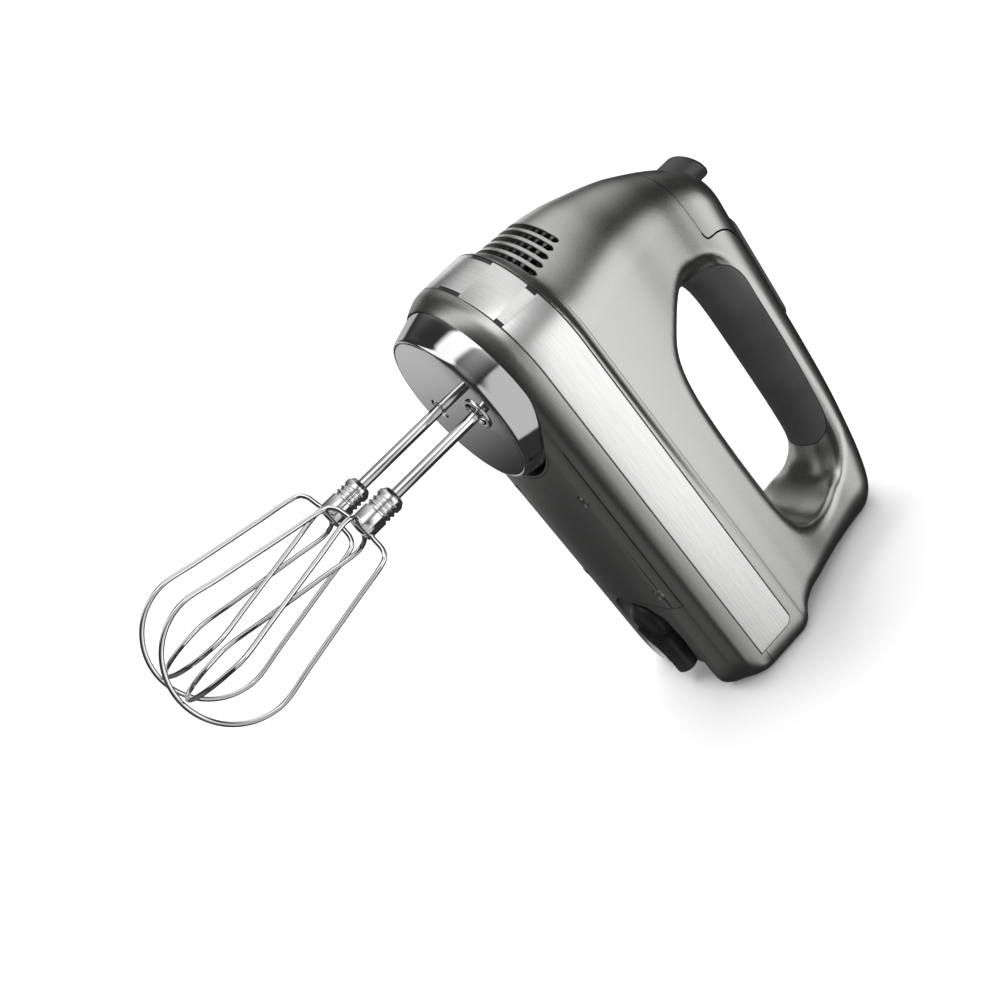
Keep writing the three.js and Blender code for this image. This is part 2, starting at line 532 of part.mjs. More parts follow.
add("commutator", ringX(2.7, 9, -97, -84, 24), "copper");
{
  let fan = join(ringX(2.7, 6, -37.8, -29.5, 20), ringX(5.5, 17.5, -37.8, -36.4, 28));
  for (let k = 0; k < 8; k++) {
    const a = (k * Math.PI) / 4;
    const blade = new THREE.BoxGeometry(7, 12, 1.1).translate(-33.1, 11.2, 0).rotateX(a).translate(0, 0, MOTOR_Z);
    fan = join(fan, toSolid(blade));
  }
  add("cooling_fan", fan, "nylon");
}
const bracket = (x0, x1) =>
  cut(prismYZ(roundRect(0, MOTOR_Z, 52, 40, 6, 2), x0, x1), rod("x", 5.3, x0 - 1, x1 + 1, 0, MOTOR_Z, 20), box(x0 - 1, x1 + 1, 9, 20, MOTOR_Z - 12, MOTOR_Z + 12), box(x0 - 1, x1 + 1, -20, -9, MOTOR_Z - 12, MOTOR_Z + 12));
add("front_bearing_bracket", bracket(-27, -24), "alloy");
add("rear_bearing_bracket", bracket(-113, -110), "alloy");
add("front_bearing", ringX(2.7, 5.0, -28, -21, 20), "bronze");
add("rear_bearing", ringX(2.7, 5.0, -114, -107, 20), "bronze");
for (const [side, s] of [["left", 1], ["right", -1]]) {
  const a = s > 0 ? 10.2 : -24;
  const holder = cut(box(-95.5, -85.5, Math.min(a, a + 13.8), Math.max(a, a + 13.8), MOTOR_Z - 4.4, MOTOR_Z + 4.4), box(-94, -87, -30, 30, MOTOR_Z - 3, MOTOR_Z + 3));
  add("brush_holder_" + side, holder, "bronze");
  add("carbon_brush_" + side, s > 0 ? box(-93.7, -87.3, 9.4, 21, MOTOR_Z - 2.7, MOTOR_Z + 2.7) : box(-93.7, -87.3, -21, -9.4, MOTOR_Z - 2.7, MOTOR_Z + 2.7), "carbon");
}
add("speed_board", box(-152, -117.5, -26, 26, 53.5, 55.1), "board");

// ---------------------------------------------------------------- gearbox
const pillars = [[19, 24.5], [19, -24.5], [-19, 31], [-19, -31]];
let frame = cut(
  turned([[0, 15.6], [37.6, 15.6], [37.6, 18.6], [0, 18.6]], "z", 0, 0, 36),
  rod("z", 7.0, 10, 22, 0, SHAFT_Y, 24),
  rod("z", 7.0, 10, 22, 0, -SHAFT_Y, 24),
);
for (const [x, y] of pillars) frame = join(frame, rod("z", 2.4, 18, 50.2, x, y, 8));
frame = cut(join(frame, box(18.6, 23, -7, 7, 18, 45)), rod("x", 2.7, 10, 30, 0, MOTOR_Z, 20));
frame = meet(frame, box(-23.6, 60, -60, 60, 0, 60));
add("gear_frame", frame, "alloy");
let lid = cut(
  prismXY([[24, -14], [24, 14], [20.8, 25], [-15, 34.5], [-23.5, 34.5], [-23.5, -34.5], [-15, -34.5], [20.8, -25]], 50.5, 53.0),
  rod("z", 5.3, 45, 60, 0, SHAFT_Y, 24),
  rod("z", 5.3, 45, 60, 0, -SHAFT_Y, 24),
  rod("z", 5, 45, 60, 4, 0, 16),
);
add("gear_cover", lid, "alloy");

function gearSolid(y, contact, toothPhase) {
  const layers = 2;
  const rings = [];
  const tilt = WORM.lead / (2 * Math.PI * 4);
  for (let k = 0; k < layers; k++) {
    const z = lerp(-GEAR.h / 2, GEAR.h / 2, k / (layers - 1));
    const twist = (tilt * z) / GEAR.pitchR;
    const ring = [];
    for (let t = 0; t < GEAR.teeth; t++) {
      const c = ((t + toothPhase) * 2 * Math.PI) / GEAR.teeth + contact + twist;
      const tipHalf = 0.6 / GEAR.tipR, rootHalf = 1.1 / GEAR.rootR;
      for (const [r, da] of [[GEAR.rootR, -rootHalf], [GEAR.tipR, -tipHalf], [GEAR.tipR, tipHalf], [GEAR.rootR, rootHalf]])
        ring.push([r * Math.cos(c + da), y + r * Math.sin(c + da), MOTOR_Z + z]);
    }
    rings.push(ring);
  }
  return cut(loft(rings), rod("z", 5.3, 20, 60, 0, y, 20));
}
for (const [side, y] of [["left", SHAFT_Y], ["right", -SHAFT_Y]]) {
  // spindle tube with a flange under its gear and a hub ring over it
  add(
    side + "_spindle",
    cut(
      turned([[0, 4], [4.4, 4], [4.4, 14], [5.0, 14], [5.0, 31.5], [8, 31.5], [8, 33.1], [5.0, 33.1], [5.0, 54], [0, 54]], "z", 0, y, 24),
      rod("z", SHAFT_R + 0.35, 0, 60, 0, y, 16),
    ),
    "zinc",
  );
  // a thread passes this side at x = 0 for the left gear and half a pitch away for the right
  const contact = y > 0 ? -Math.PI / 2 : Math.PI / 2;
  add(side + "_worm_gear", gearSolid(y, contact, y > 0 ? 0.5 : 0), "nylon");
  add(side + "_lower_bush", turned([[5.3, 15.6 - 2], [8.6, 15.6 - 2], [8.6, 15.3], [6.7, 15.3], [6.7, 18.6], [5.3, 18.6]], "z", 0, y, 24), "bronze");
}

// ---------------------------------------------------------------- ejector
let slide = join(
  prismXY(roundRect(2, 0, 12, 46, 5, 3), 62.5, 66),
  rod("z", 2.3, 50.6, 64, 0, SHAFT_Y, 14),
  rod("z", 2.3, 50.6, 64, 0, -SHAFT_Y, 14),
  rod("z", 3, 65, 133.6, 5, 0, 16),
  rod("z", 6.4, 119, 120.6, 5, 0, 20),
);
add("ejector_slide", slide, "nylon");
{
  // cap with a skirt that slides in the hole of the top cover; its top follows the slope of the handle
  const n = 24;
  const ring = (g, z, tip) =>
    Array.from({ length: n }, (_, i) => {
      const a = (2 * Math.PI * i) / n;
      const x = KNOB.x + (KNOB.rx + g) * Math.cos(a);
      return [x, (KNOB.ry + g) * Math.sin(a), z + tip * (x - KNOB.x)];
    });
  const knob = cut(
    loft([ring(-0.4, 133, 0), ring(-0.4, 147.0, -0.5), ring(-1.4, 149.2, -0.48), ring(-4.2, 150.6, -0.46)]),
    rod("z", 3.3, 130, 138, 5, 0, 16),
  );
  // top of the rod enters the cap with clearance
  add("eject_button", knob, "dark");
}
add("ejector_guide", cut(prismXY([[27, -20], [27, 20], [-18, 20], [-18, -20]], 99, 101.5).intersect(prismXY(ringAt(101, WALL + 3.4).map(([x, y]) => [x, y]), 90, 110)), rod("z", 3.4, 90, 110, 5, 0, 18)), "alloy");
{
  const pts = [];
  for (let i = 0; i <= 32; i++) {
    const a = (2 * Math.PI * i) / 8;
    pts.push([5 + 4.9 * Math.cos(a), 4.9 * Math.sin(a), lerp(102.5, 118.0, i / 32)]);
  }
  add("ejector_spring", tube(pts, 0.5, 40, 4), "zinc");
}

// ---------------------------------------------------------------- cord swivel
{
  const base = turned([[0, 2.6], [6.5, 3.0], [9.6, 4.8], [10.6, 8], [10.6, 13.2], [0, 13.2]], "z", SWIVEL.x, 0, 28);
  const neck = toSolid(
    new THREE.CylinderGeometry(SWIVEL.tubeR, 6.8, 22, 24).rotateZ(Math.PI / 2).translate(SWIVEL.x - 17, 0, SWIVEL.z + 0.4),
  );
  const tubeEnd = rod("x", SWIVEL.tubeR, SWIVEL.tubeEnd, SWIVEL.x - 27, 0, SWIVEL.z + 0.4, 24);
  const swivel = cut(
    join(base, neck, tubeEnd, rod("z", 4.0, 13, 22.4, SWIVEL.x, 0, 20)),
    rod("x", SWIVEL.boreR, SWIVEL.tubeEnd - 1, SWIVEL.x - 4, 0, SWIVEL.z + 0.4, 20),
    rod("z", 2.2, SWIVEL.z, 30, SWIVEL.x - 0.5, 0, 14),
    rod("z", 1.2, -5, SWIVEL.z, SWIVEL.x - 20, 0, 10),
  );
  add("cord_swivel", meet(swivel, box(-166, -100, -20, 20, 1.5, 30)), "black");
  add("swivel_retainer", cut(rod("z", 7, 18.2, 20.2, SWIVEL.x, 0, 24), rod("z", 4.3, 10, 30, SWIVEL.x, 0, 20)), "zinc");
}

// ---------------------------------------------------------------- beaters
for (const [side, y] of [["left", SHAFT_Y], ["right", -SHAFT_Y]]) {
  const [aShoulder, aWide] = RIBS[side];
  // shaft: plain rod with a small locating collar just under the plate
  add(
    side + "_beater_shaft",
    turned([[0, -63], [SHAFT_R, -63], [SHAFT_R, -10.5], [3.3, -10.0], [3.3, -9.0], [SHAFT_R, -8.5], [SHAFT_R, 48.6], [1.4, 50], [0, 50]], "z", 0, y, 16),
    "chrome",
  );
  const hub = [[SHAFT_R + 0.3, HUB.z1]];
  hub.push([HUB.r, HUB.z1], [HUB.r, -56], [5.0, -55], [HUB.r, -54], [5.0, -53], [HUB.r, -52], [5.0, -51], [HUB.r, -50], [HUB.r, -48.2], [4.4, -46.2], [SHAFT_R + 0.3, -46]);
  add(side + "_beater_hub", turned(hub, "z", 0, y, 16), "chrome");
  ["a", "b"].forEach((tag, k) => {
    const drop = k === 0 ? 0 : 2.45;
    const as = rad(aShoulder + 90 * k);
    const aw = rad(aWide + 90 * k);
    const at = (r, a, z) => [r * Math.cos(a), y + r * Math.sin(a), z];
    const P = at(BEATER.shoulderR, as, BEATER.shoulderZ);
    const Q = at(BEATER.maxR, aw, BEATER.maxZ);
    const half = [at(6.15, as, -64.2), at(9, as, -64.5), at(12.2, as, -65.0), at(14.9, as, -66.7), P];
    for (let i = 1; i <= 3; i++) half.push([lerp(P[0], Q[0], i / 4), lerp(P[1], Q[1], i / 4), lerp(P[2], Q[2], i / 4)]);
    const rz = Math.abs(BEATER.endZ - BEATER.maxZ) - drop;
    for (let i = 0; i <= 4; i++) {
      const t = rad((90 * i) / 5);
      half.push(at(BEATER.maxR * Math.cos(t), aw, BEATER.maxZ - rz * Math.sin(t)));
    }
    const mirror = half.map(([px, py, pz]) => [-px, 2 * y - py, pz]).reverse();
    add(side + "_beater_wire_" + tag, tube([...half, [0, y, BEATER.maxZ - rz], ...mirror], WIRE_R, 38, 6), "chrome");
  });
}

export default root;
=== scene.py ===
"""Hand mixer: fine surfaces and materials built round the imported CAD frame.

Shapes are made in the design frame (millimetres, origin at the centre of the face plate,
+X to the nose, +Y to the user's left, +Z to the handle) and moved to the row frame at the end.
"""
import json
import math

import bmesh
import bpy
import numpy as np
from mathutils import Matrix, Vector


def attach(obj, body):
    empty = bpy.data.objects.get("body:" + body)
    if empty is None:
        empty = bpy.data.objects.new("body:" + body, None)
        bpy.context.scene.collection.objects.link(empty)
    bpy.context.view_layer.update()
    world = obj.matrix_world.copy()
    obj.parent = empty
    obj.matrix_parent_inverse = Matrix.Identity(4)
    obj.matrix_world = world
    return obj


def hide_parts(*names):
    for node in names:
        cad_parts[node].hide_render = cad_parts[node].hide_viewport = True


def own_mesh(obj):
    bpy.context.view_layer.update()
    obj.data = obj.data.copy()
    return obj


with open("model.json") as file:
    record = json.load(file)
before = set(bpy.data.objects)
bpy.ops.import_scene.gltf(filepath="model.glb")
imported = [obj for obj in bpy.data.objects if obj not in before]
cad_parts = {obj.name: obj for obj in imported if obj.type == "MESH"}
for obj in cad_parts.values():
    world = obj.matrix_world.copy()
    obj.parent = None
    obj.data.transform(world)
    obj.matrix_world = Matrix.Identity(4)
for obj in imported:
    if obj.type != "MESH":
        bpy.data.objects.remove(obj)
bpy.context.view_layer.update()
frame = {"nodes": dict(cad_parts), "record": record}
NODES = frame["nodes"]

# ------------------------------------------------------------------ dimensions
SHAFT_Y = 19.0
HEEL_X, HEEL_Z = -168.0, 37.5
WALL, FLOOR, GRIP_T, GAP = 3.0, 4.6, 2.0, 0.3
BAND = dict(z0=22.6, z1=43.0, x0=-156.0, t=1.2)
SPLIT_Z = 25.0
COLLAR_R = 41.0
SWIVEL = dict(x=-131.0, z=8.0, tube=5.1, bore=3.5, end=-161.0)
SHAFT_R, WIRE_R = 2.4, 1.05
FRONT = [
    [2, 33, 33], [8, 38, 38], [12, 41, 41], [16, 43.2, 43.2], [20, 44.6, 44.6], [24, 45, 45], [43, 45, 45],
    [44.4, 44.4, 44.6], [46, 43.0, 43.4], [47.4, 41.9, 42.7], [49, 41.3, 42.3], [55, 40.6, 41.3], [67, 40.0, 38.8], [80, 38.2, 35.6], [95, 34.0, 31],
    [110, 28.8, 26.5], [120, 23.8, 23], [130, 18.0, 20], [140, 10.5, 18], [150, 0, 17], [160, -14, 16]]
REAR = [
    [2, -165, 29], [8, -168.6, 35], [12, -169.8, 39], [16, -169.8, 42], [24, -169.8, 44], [45, -169.8, 44],
    [50, -169.4, 42.6], [54, -166.0, 41.6], [57, -164.6, 40.8], [62, -164.4, 39.2], [70, -165.0, 36.6],
    [85, -166.4, 30.6], [100, -168.2, 25.2], [115, -169.8, 20.6], [130, -170.4, 17.8], [160, -170.4, 16]]
CREST = [
    [-200, 98], [-172, 121], [-165, 126.2], [-157, 130], [-143, 134.3], [-130, 136.8], [-109, 139.8], [-84, 141.9],
    [-58, 143.5], [-20, 145.8], [0, 147.2], [15, 147.9], [60, 148.5]]
OPENING = [
    (-27, 106), (-29, 92), (-36, 81), (-50, 76), (-75, 74.5), (-108, 75), (-125, 76.5), (-135, 80), (-140.5, 88),
    (-141, 98), (-137.5, 108), (-129, 115.5), (-110, 117.2), (-75, 118), (-45, 118.4), (-32, 116)]
COVER_EDGE = [
    (60, 112), (30, 120.5), (19.6, 122.6), (14.5, 123.0), (4, 122.8), (-6, 123.4), (-13, 123.5), (-15.4, 124.6),
    (-16.4, 127.5), (-16.9, 130.5), (-18.7, 134.6), (-23, 138.2), (-32, 139.8), (-53, 140), (-87, 138),
    (-110, 134.2), (-124, 131), (-147, 126), (-160, 121.4), (-175, 116.5)]
KNOB = dict(x=6.2, rx=8.6, ry=9.2)
BUTTONS = {"speed_up_button": (-45, 3.6, 6.5), "speed_down_button": (-55, 3.6, 6.5), "power_button": (-67, 4.2, 5.0)}
SCREWS = [(-54, 30.5), (-54, -30.5), (-108, 30.5), (-108, -30.5)]


# ------------------------------------------------------------------ curves and fields
def pchip(xs, ys):
    xs, ys = np.array(xs, float), np.array(ys, float)
    h = np.diff(xs)
    d = np.diff(ys) / h
    m = np.zeros_like(ys)
    for i in range(1, len(xs) - 1):
        if d[i - 1] * d[i] > 0:
            w1, w2 = 2 * h[i] + h[i - 1], h[i] + 2 * h[i - 1]
            m[i] = (w1 + w2) / (w1 / d[i - 1] + w2 / d[i])
    m[0], m[-1] = d[0], d[-1]

    def f(x):
        x = np.clip(x, xs[0], xs[-1])
        i = np.clip(np.searchsorted(xs, x) - 1, 0, len(h) - 1)
        t = (x - xs[i]) / h[i]
        return (ys[i] * (2 * t**3 - 3 * t**2 + 1) + m[i] * h[i] * (t**3 - 2 * t**2 + t)
                + ys[i + 1] * (-2 * t**3 + 3 * t**2) + m[i + 1] * h[i] * (t**3 - t**2))

    return f


col = lambda rows, k: [r[k] for r in rows]
noseX, noseW = pchip(col(FRONT, 0), col(FRONT, 1)), pchip(col(FRONT, 0), col(FRONT, 2))
rearX, rearW = pchip(col(REAR, 0), col(REAR, 1)), pchip(col(REAR, 0), col(REAR, 2))
crest = pchip(col(CREST, 0), col(CREST, 1))
cornerB = lambda z: np.interp(z, [5, 20, 60, 85, 110], [28, 17, 15, 17, 19])
cornerN = lambda z: np.interp(z, [14, 24, 48, 62, 110], [3.1, 4.6, 4.6, 3.0, 2.3])


def smax(a, b, k):
    h = np.clip(0.5 + 0.5 * (a - b) / k, 0, 1)
    return b * (1 - h) + a * h + k * h * (1 - h)


def smin(a, b, k):
    return -smax(-a, -b, k)


def smooth_poly(poly, n):
    p = np.array(poly, float)
    for _ in range(n):
        q = np.empty((2 * len(p), 2))
        nx = np.roll(p, -1, 0)
        q[0::2], q[1::2] = 0.75 * p + 0.25 * nx, 0.25 * p + 0.75 * nx
        p = q
    return p


def sd_poly(px, pz, poly):
    """signed distance to a polygon, negative inside"""
    P = np.array(poly, float)
    d = np.full(px.shape, 1e18)
    inside = np.zeros(px.shape, bool)
    for i in range(len(P)):
        a, b = P[i], P[i - 1]
        e = b - a
        wx, wz = px - a[0], pz - a[1]
        t = np.clip((wx * e[0] + wz * e[1]) / (e @ e), 0, 1)
        d = np.minimum(d, (wx - e[0] * t) ** 2 + (wz - e[1] * t) ** 2)
        c1, c2, c3 = pz >= a[1], pz < b[1], e[0] * wz > e[1] * wx
        inside ^= (c1 & c2 & c3) | (~c1 & ~c2 & ~c3)
    return np.where(inside, -1, 1) * np.sqrt(d)


_open = smooth_poly(OPENING, 2)
_step = 0.5
_gx, _gz = np.arange(-180, 60, _step), np.arange(-10, 170, _step)
_gd = sd_poly(*np.meshgrid(_gx, _gz, indexing="ij"), _open)
_kernel = np.exp(-0.5 * (np.arange(-8, 9) / 2.8) ** 2)
_kernel /= _kernel.sum()
for _axis in (0, 1):
    _pad = np.pad(_gd, [(8, 8) if k == _axis else (0, 0) for k in (0, 1)], mode="edge")
    _gd = sum(w * np.take(_pad, np.arange(i, i + _gd.shape[_axis]), _axis) for i, w in enumerate(_kernel))


def open_distance(x, z):
    """distance to the outline of the hand opening, read from a table"""
    u = np.clip((x - _gx[0]) / _step, 0, len(_gx) - 1.001)
    v = np.clip((z - _gz[0]) / _step, 0, len(_gz) - 1.001)
    i, j = u.astype(int), v.astype(int)
    u, v = u - i, v - j
    return (_gd[i, j] * (1 - u) * (1 - v) + _gd[i + 1, j] * u * (1 - v) + _gd[i, j + 1] * (1 - u) * v
            + _gd[i + 1, j + 1] * u * v)


def side(x, y, z):
    xf, xr, wf, wr, ay = noseX(z), rearX(z), noseW(z), rearW(z), np.abs(y)
    xc = xf - wf
    b, n = cornerB(z), cornerN(z)
    xb = xr + b
    t = np.clip((xc - x) / (xc - xb), 0, 1)
    w = wf + (wr - wf) * (t * t * (3 - 2 * t) * 0.5 + t * 0.5)
    qf = np.sqrt(np.maximum(x - xc, 0) ** 2 / (xf - xc) ** 2 + (ay / wf) ** 2)
    qr = ((np.maximum(xb - x, 0) / b) ** n + (ay / w) ** n) ** (1 / n)
    q = np.where(x > xc, qf, np.where(x < xb, qr, ay / w))
    return (q - 1) * w


def hole(x, y, z):
    ay = np.abs(y)
    h = open_distance(x, z)
    g = 0.5 * (ay - 9.2 + np.sqrt((ay - 9.2) ** 2 + 6))
    ease = lambda t: np.clip(t, 0, 1) ** 2 * (3 - 2 * np.clip(t, 0, 1))
    corner = ease((x + 60) / 45) * ease((z - 80) / 30)
    roof = ease((z - 98) / 16) * ease((x + 156) / 34)
    arch = 15 * (1 - np.sqrt(np.maximum(1 - (smin(ay, 17.9, 4.0) / 19) ** 2, 0)))
    return h - smax(g * (0.12 + 0.5 * corner), arch * roof, 1.2)


def body(x, y, z, d=0.0, floor=0.0, lip=5.0):
    """the body's outer form, moved inwards by d (floor below)"""
    f = smax(side(x, y, z) + d, (z - (crest(x) - 3.2 * (np.abs(y) / 17) ** 2)) * 0.95 + d, 9.0)
    f = smax(f, (5.5 + floor + 3.0 * (np.abs(y) / 38) ** 2) - z, 5.0)
    f = smax(f, HEEL_X + d - x, 2.0)
    return smax(f, -(hole(x, y, z) - d), lip)


def surface_nets(F, ax):
    s = F < 0
    nx, ny, nz = F.shape
    corners = [s[i:nx - 1 + i, j:ny - 1 + j, k:nz - 1 + k] for i in (0, 1) for j in (0, 1) for k in (0, 1)]
    cnt = sum(a.astype(np.int8) for a in corners)
    cell = (cnt > 0) & (cnt < 8)
    idx = np.full(cell.shape, -1, np.int64)
    ii = np.argwhere(cell)
    idx[cell] = np.arange(len(ii))
    acc, num = np.zeros((len(ii), 3)), np.zeros(len(ii))
    I, J, K = ii.T
    for a in range(3):
        oth = [c for c in range(3) if c != a]
        for u in (0, 1):
            for v in (0, 1):
                o0, o1 = [0, 0, 0], [0, 0, 0]
                o0[oth[0]] = o1[oth[0]] = u
                o0[oth[1]] = o1[oth[1]] = v
                o1[a] = 1
                fa, fb = F[I + o0[0], J + o0[1], K + o0[2]], F[I + o1[0], J + o1[1], K + o1[2]]
                m = (fa < 0) != (fb < 0)
                t = np.where(m, fa / np.where(m, fa - fb, 1), 0)
                p = np.tile(np.array(o0, float), (len(ii), 1))
                p[:, a] = t
                acc += p * m[:, None]
                num += m
    P = acc / num[:, None]
    V = np.stack([ax[d][0] + (ii[:, d] + P[:, d]) * (ax[d][1] - ax[d][0]) for d in range(3)], 1)
    Q = []
    for a in range(3):
        o = [c for c in range(3) if c != a]
        s0, s1 = [slice(None)] * 3, [slice(None)] * 3
        s0[a], s1[a] = slice(0, -1), slice(1, None)
        for d in o:
            s0[d] = s1[d] = slice(1, -1)
        A, B = s[tuple(s0)], s[tuple(s1)]
        e, inv = np.argwhere(A != B), A[A != B]
        for d in o:
            e[:, d] += 1

        def cid(du, dv):
            q = e.copy()
            q[:, o[0]] -= du
            q[:, o[1]] -= dv
            return idx[q[:, 0], q[:, 1], q[:, 2]]

        quad = np.stack([cid(1, 1), cid(0, 1), cid(0, 0), cid(1, 0)], 1)
        flip = inv if a != 1 else ~inv
        Q.append(np.where(flip[:, None], quad, quad[:, ::-1]))
    return V, np.concatenate(Q)


def newton(V, fn, it=3, eps=0.05):
    for _ in range(it):
        f = fn(*V.T)
        g = np.stack([(fn(*(V + np.eye(3)[d] * eps).T) - f) / eps for d in range(3)], 1)
        V = V - g * (f / np.maximum((g * g).sum(1), 0.05))[:, None]
    return V


def field_mesh(fn, lo, hi, step, polish=3):
    ax = [np.arange(a, b + step, step) for a, b in zip(lo, hi)]
    F = fn(*np.meshgrid(*ax, indexing="ij"))
    V, Q = surface_nets(F, ax)
    return (newton(V, fn, polish) if polish else V), Q.tolist()


# ------------------------------------------------------------------ mesh helpers
def catmull(pts, n, closed=False):
    """points along a centripetal Catmull-Rom curve, n per span"""
    P = [np.array(p, float) for p in pts]
    if closed:
        P = [P[-1]] + P + [P[0], P[1]]
    else:
        P = [2 * P[0] - P[1]] + P + [2 * P[-1] - P[-2]]
    out = []
    for i in range(1, len(P) - 2):
        p0, p1, p2, p3 = P[i - 1:i + 3]
        t = [0.0]
        for a, b in ((p0, p1), (p1, p2), (p2, p3)):
            t.append(t[-1] + max(np.linalg.norm(b - a), 1e-6) ** 0.5)
        for k in range(n):
            u = t[1] + (t[2] - t[1]) * k / n
            a1 = (t[1] - u) / (t[1] - t[0]) * p0 + (u - t[0]) / (t[1] - t[0]) * p1
            a2 = (t[2] - u) / (t[2] - t[1]) * p1 + (u - t[1]) / (t[2] - t[1]) * p2
            a3 = (t[3] - u) / (t[3] - t[2]) * p2 + (u - t[2]) / (t[3] - t[2]) * p3
            b1 = (t[2] - u) / (t[2] - t[0]) * a1 + (u - t[0]) / (t[2] - t[0]) * a2
            b2 = (t[3] - u) / (t[3] - t[1]) * a2 + (u - t[1]) / (t[3] - t[1]) * a3
            out.append((t[2] - u) / (t[2] - t[1]) * b1 + (u - t[1]) / (t[2] - t[1]) * b2)
    if not closed:
        out.append(P[-2])
    return np.array(out)


def raw(name, V, F):
    me = bpy.data.meshes.new(name)
    me.from_pydata([tuple(map(float, v)) for v in V], [], F)
    me.update()
    o = bpy.data.objects.new(name, me)
    bpy.context.scene.collection.objects.link(o)
    return o


def signed_volume(o):
    bm = bmesh.new()
    bm.from_mesh(o.data)
    v = bm.calc_volume(signed=True)
    bm.free()
    return v


def outward(o):
    if signed_volume(o) < 0:
        o.data.flip_normals()
    return o


def loft(name, rings, closed_ends=True):
    """skin over rings of equal point counts"""
    n = len(rings[0])
    V = [p for r in rings for p in r]
    F = []
    for k in range(len(rings) - 1):
        for i in range(n):
            j = (i + 1) % n
            F.append((k * n + i, k * n + j, (k + 1) * n + j, (k + 1) * n + i))
    if closed_ends:
        F.append(tuple(range(n - 1, -1, -1)))
        F.append(tuple(range((len(rings) - 1) * n, len(rings) * n)))
    return outward(raw(name, V, F))


def sweep(name, sections):
    """closed solid through equal closed sections, capped at both ends"""
    return loft(name, sections)


def prism_xz(name, pts, y0, y1):
    return loft(name, [[(x, y0, z) for x, z in pts], [(x, y1, z) for x, z in pts]])


def prism_xy(name, pts, z0, z1):
    return loft(name, [[(x, y, z0) for x, y in pts], [(x, y, z1) for x, y in pts]])


def box(name, x0, x1, y0, y1, z0, z1):
    return prism_xy(name, [(x0, y0), (x1, y0), (x1, y1), (x0, y1)], z0, z1)


def rod(name, axis, r, a, b, u=0.0, v=0.0, seg=48, r2=None):
    r2 = r if r2 is None else r2
    rings = []
    for rr, h in ((r, a), (r2, b)):
        ring = []
        for i in range(seg):
            c, s = rr * math.cos(2 * math.pi * i / seg), rr * math.sin(2 * math.pi * i / seg)
            ring.append({"z": (u + c, v + s, h), "x": (h, u + c, v + s), "y": (u + c, h, v + s)}[axis])
        rings.append(ring)
    return loft(name, rings)


def turned(name, profile, axis="z", u=0.0, v=0.0, seg=96):
    """closed solid of revolution; profile is a closed loop of (radius, height), or starts and ends on the axis"""
    prof = [tuple(map(float, p)) for p in profile]
    place = {"z": lambda c, s, h: (u + c, v + s, h), "x": lambda c, s, h: (h, u + c, v + s)}[axis]
    on_axis = prof[0][0] < 1e-6 and prof[-1][0] < 1e-6
    V, F = [], []
    body_rows = prof[1:-1] if on_axis else prof
    m = len(body_rows)
    for i in range(seg):
        a = 2 * math.pi * i / seg
        for r, h in body_rows:
            V.append(place(r * math.cos(a), r * math.sin(a), h))
    for i in range(seg):
        j = (i + 1) % seg
        for k in range(m - 1 if on_axis else m):
            l = (k + 1) % m
            F.append((i * m + k, i * m + l, j * m + l, j * m + k))
    if on_axis:
        c0, c1 = len(V), len(V) + 1
        V += [place(0, 0, prof[0][1]), place(0, 0, prof[-1][1])]
        for i in range(seg):
            j = (i + 1) % seg
            F.append((c0, i * m, j * m))
            F.append((c1, j * m + m - 1, i * m + m - 1))
    return outward(raw(name, V, F))


def fillet(profile, radii, n=5, closed=True):
    """rounds the corners of a polyline of (a, b); radii gives one radius a corner"""
    P = [np.array(p, float) for p in profile]
    out = []
    L = len(P)
    for i, p in enumerate(P):
        r = radii if np.isscalar(radii) else radii[i]
        if r <= 0 or (not closed and i in (0, L - 1)):
            out.append(tuple(p))
            continue
        a, b = P[i - 1] - p, P[(i + 1) % L] - p
        la, lb = np.linalg.norm(a), np.linalg.norm(b)
        a, b = a / la, b / lb
        cosang = float(np.clip(a @ b, -1, 1))
        half = math.acos(cosang) / 2
        t = min(r / math.tan(half), la * 0.48, lb * 0.48)
        p0, p1 = p + a * t, p + b * t
        for k in range(n + 1):
            s = k / n
            out.append(tuple((1 - s) ** 2 * p0 + 2 * s * (1 - s) * p + s**2 * p1))
    return out


def round_rect(cx, cy, w, h, r, n=8):
    pts = []
    for sx, sy, a0 in ((1, 1, 0), (-1, 1, 90), (-1, -1, 180), (1, -1, 270)):
        for i in range(n + 1):
            a = math.radians(a0 + 90 * i / n)
            pts.append((cx + sx * (w / 2 - r) + r * math.cos(a), cy + sy * (h / 2 - r) + r * math.sin(a)))
    return pts


def tube(name, pts, r, sides=16, cap=True):
    """round tube along a path, with rings that don't twist"""
    P = np.array(pts, float)
    T = np.gradient(P, axis=0)
    T /= np.linalg.norm(T, axis=1)[:, None]
    n = np.cross(T[0], [0, 0, 1.0])
    if np.linalg.norm(n) < 1e-3:
        n = np.cross(T[0], [0, 1.0, 0])
    n /= np.linalg.norm(n)
    rings = []
    for p, t in zip(P, T):
        n = n - t * (n @ t)
        n /= np.linalg.norm(n)
        b = np.cross(t, n)
        rings.append([p + r * (math.cos(2 * math.pi * k / sides) * n + math.sin(2 * math.pi * k / sides) * b)
                      for k in range(sides)])
    return loft(name, rings, cap)


def boolean(a, b, op, keep=False):
    m = a.modifiers.new("b", "BOOLEAN")
    m.operation, m.object, m.solver = op, b, "MANIFOLD"
    bpy.context.view_layer.update()
    dg = bpy.context.evaluated_depsgraph_get()
    me = bpy.data.meshes.new_from_object(a.evaluated_get(dg))
    a.modifiers.remove(m)
    old = a.data
    a.data = me
    bpy.data.meshes.remove(old)
    if not keep:
        drop(b)
    if not len(me.polygons):
        raise RuntimeError(f"{a.name} {op} {b.name} left nothing")
    return a


def cut(a, b, keep=False):
    return boolean(a, b, "DIFFERENCE", keep)


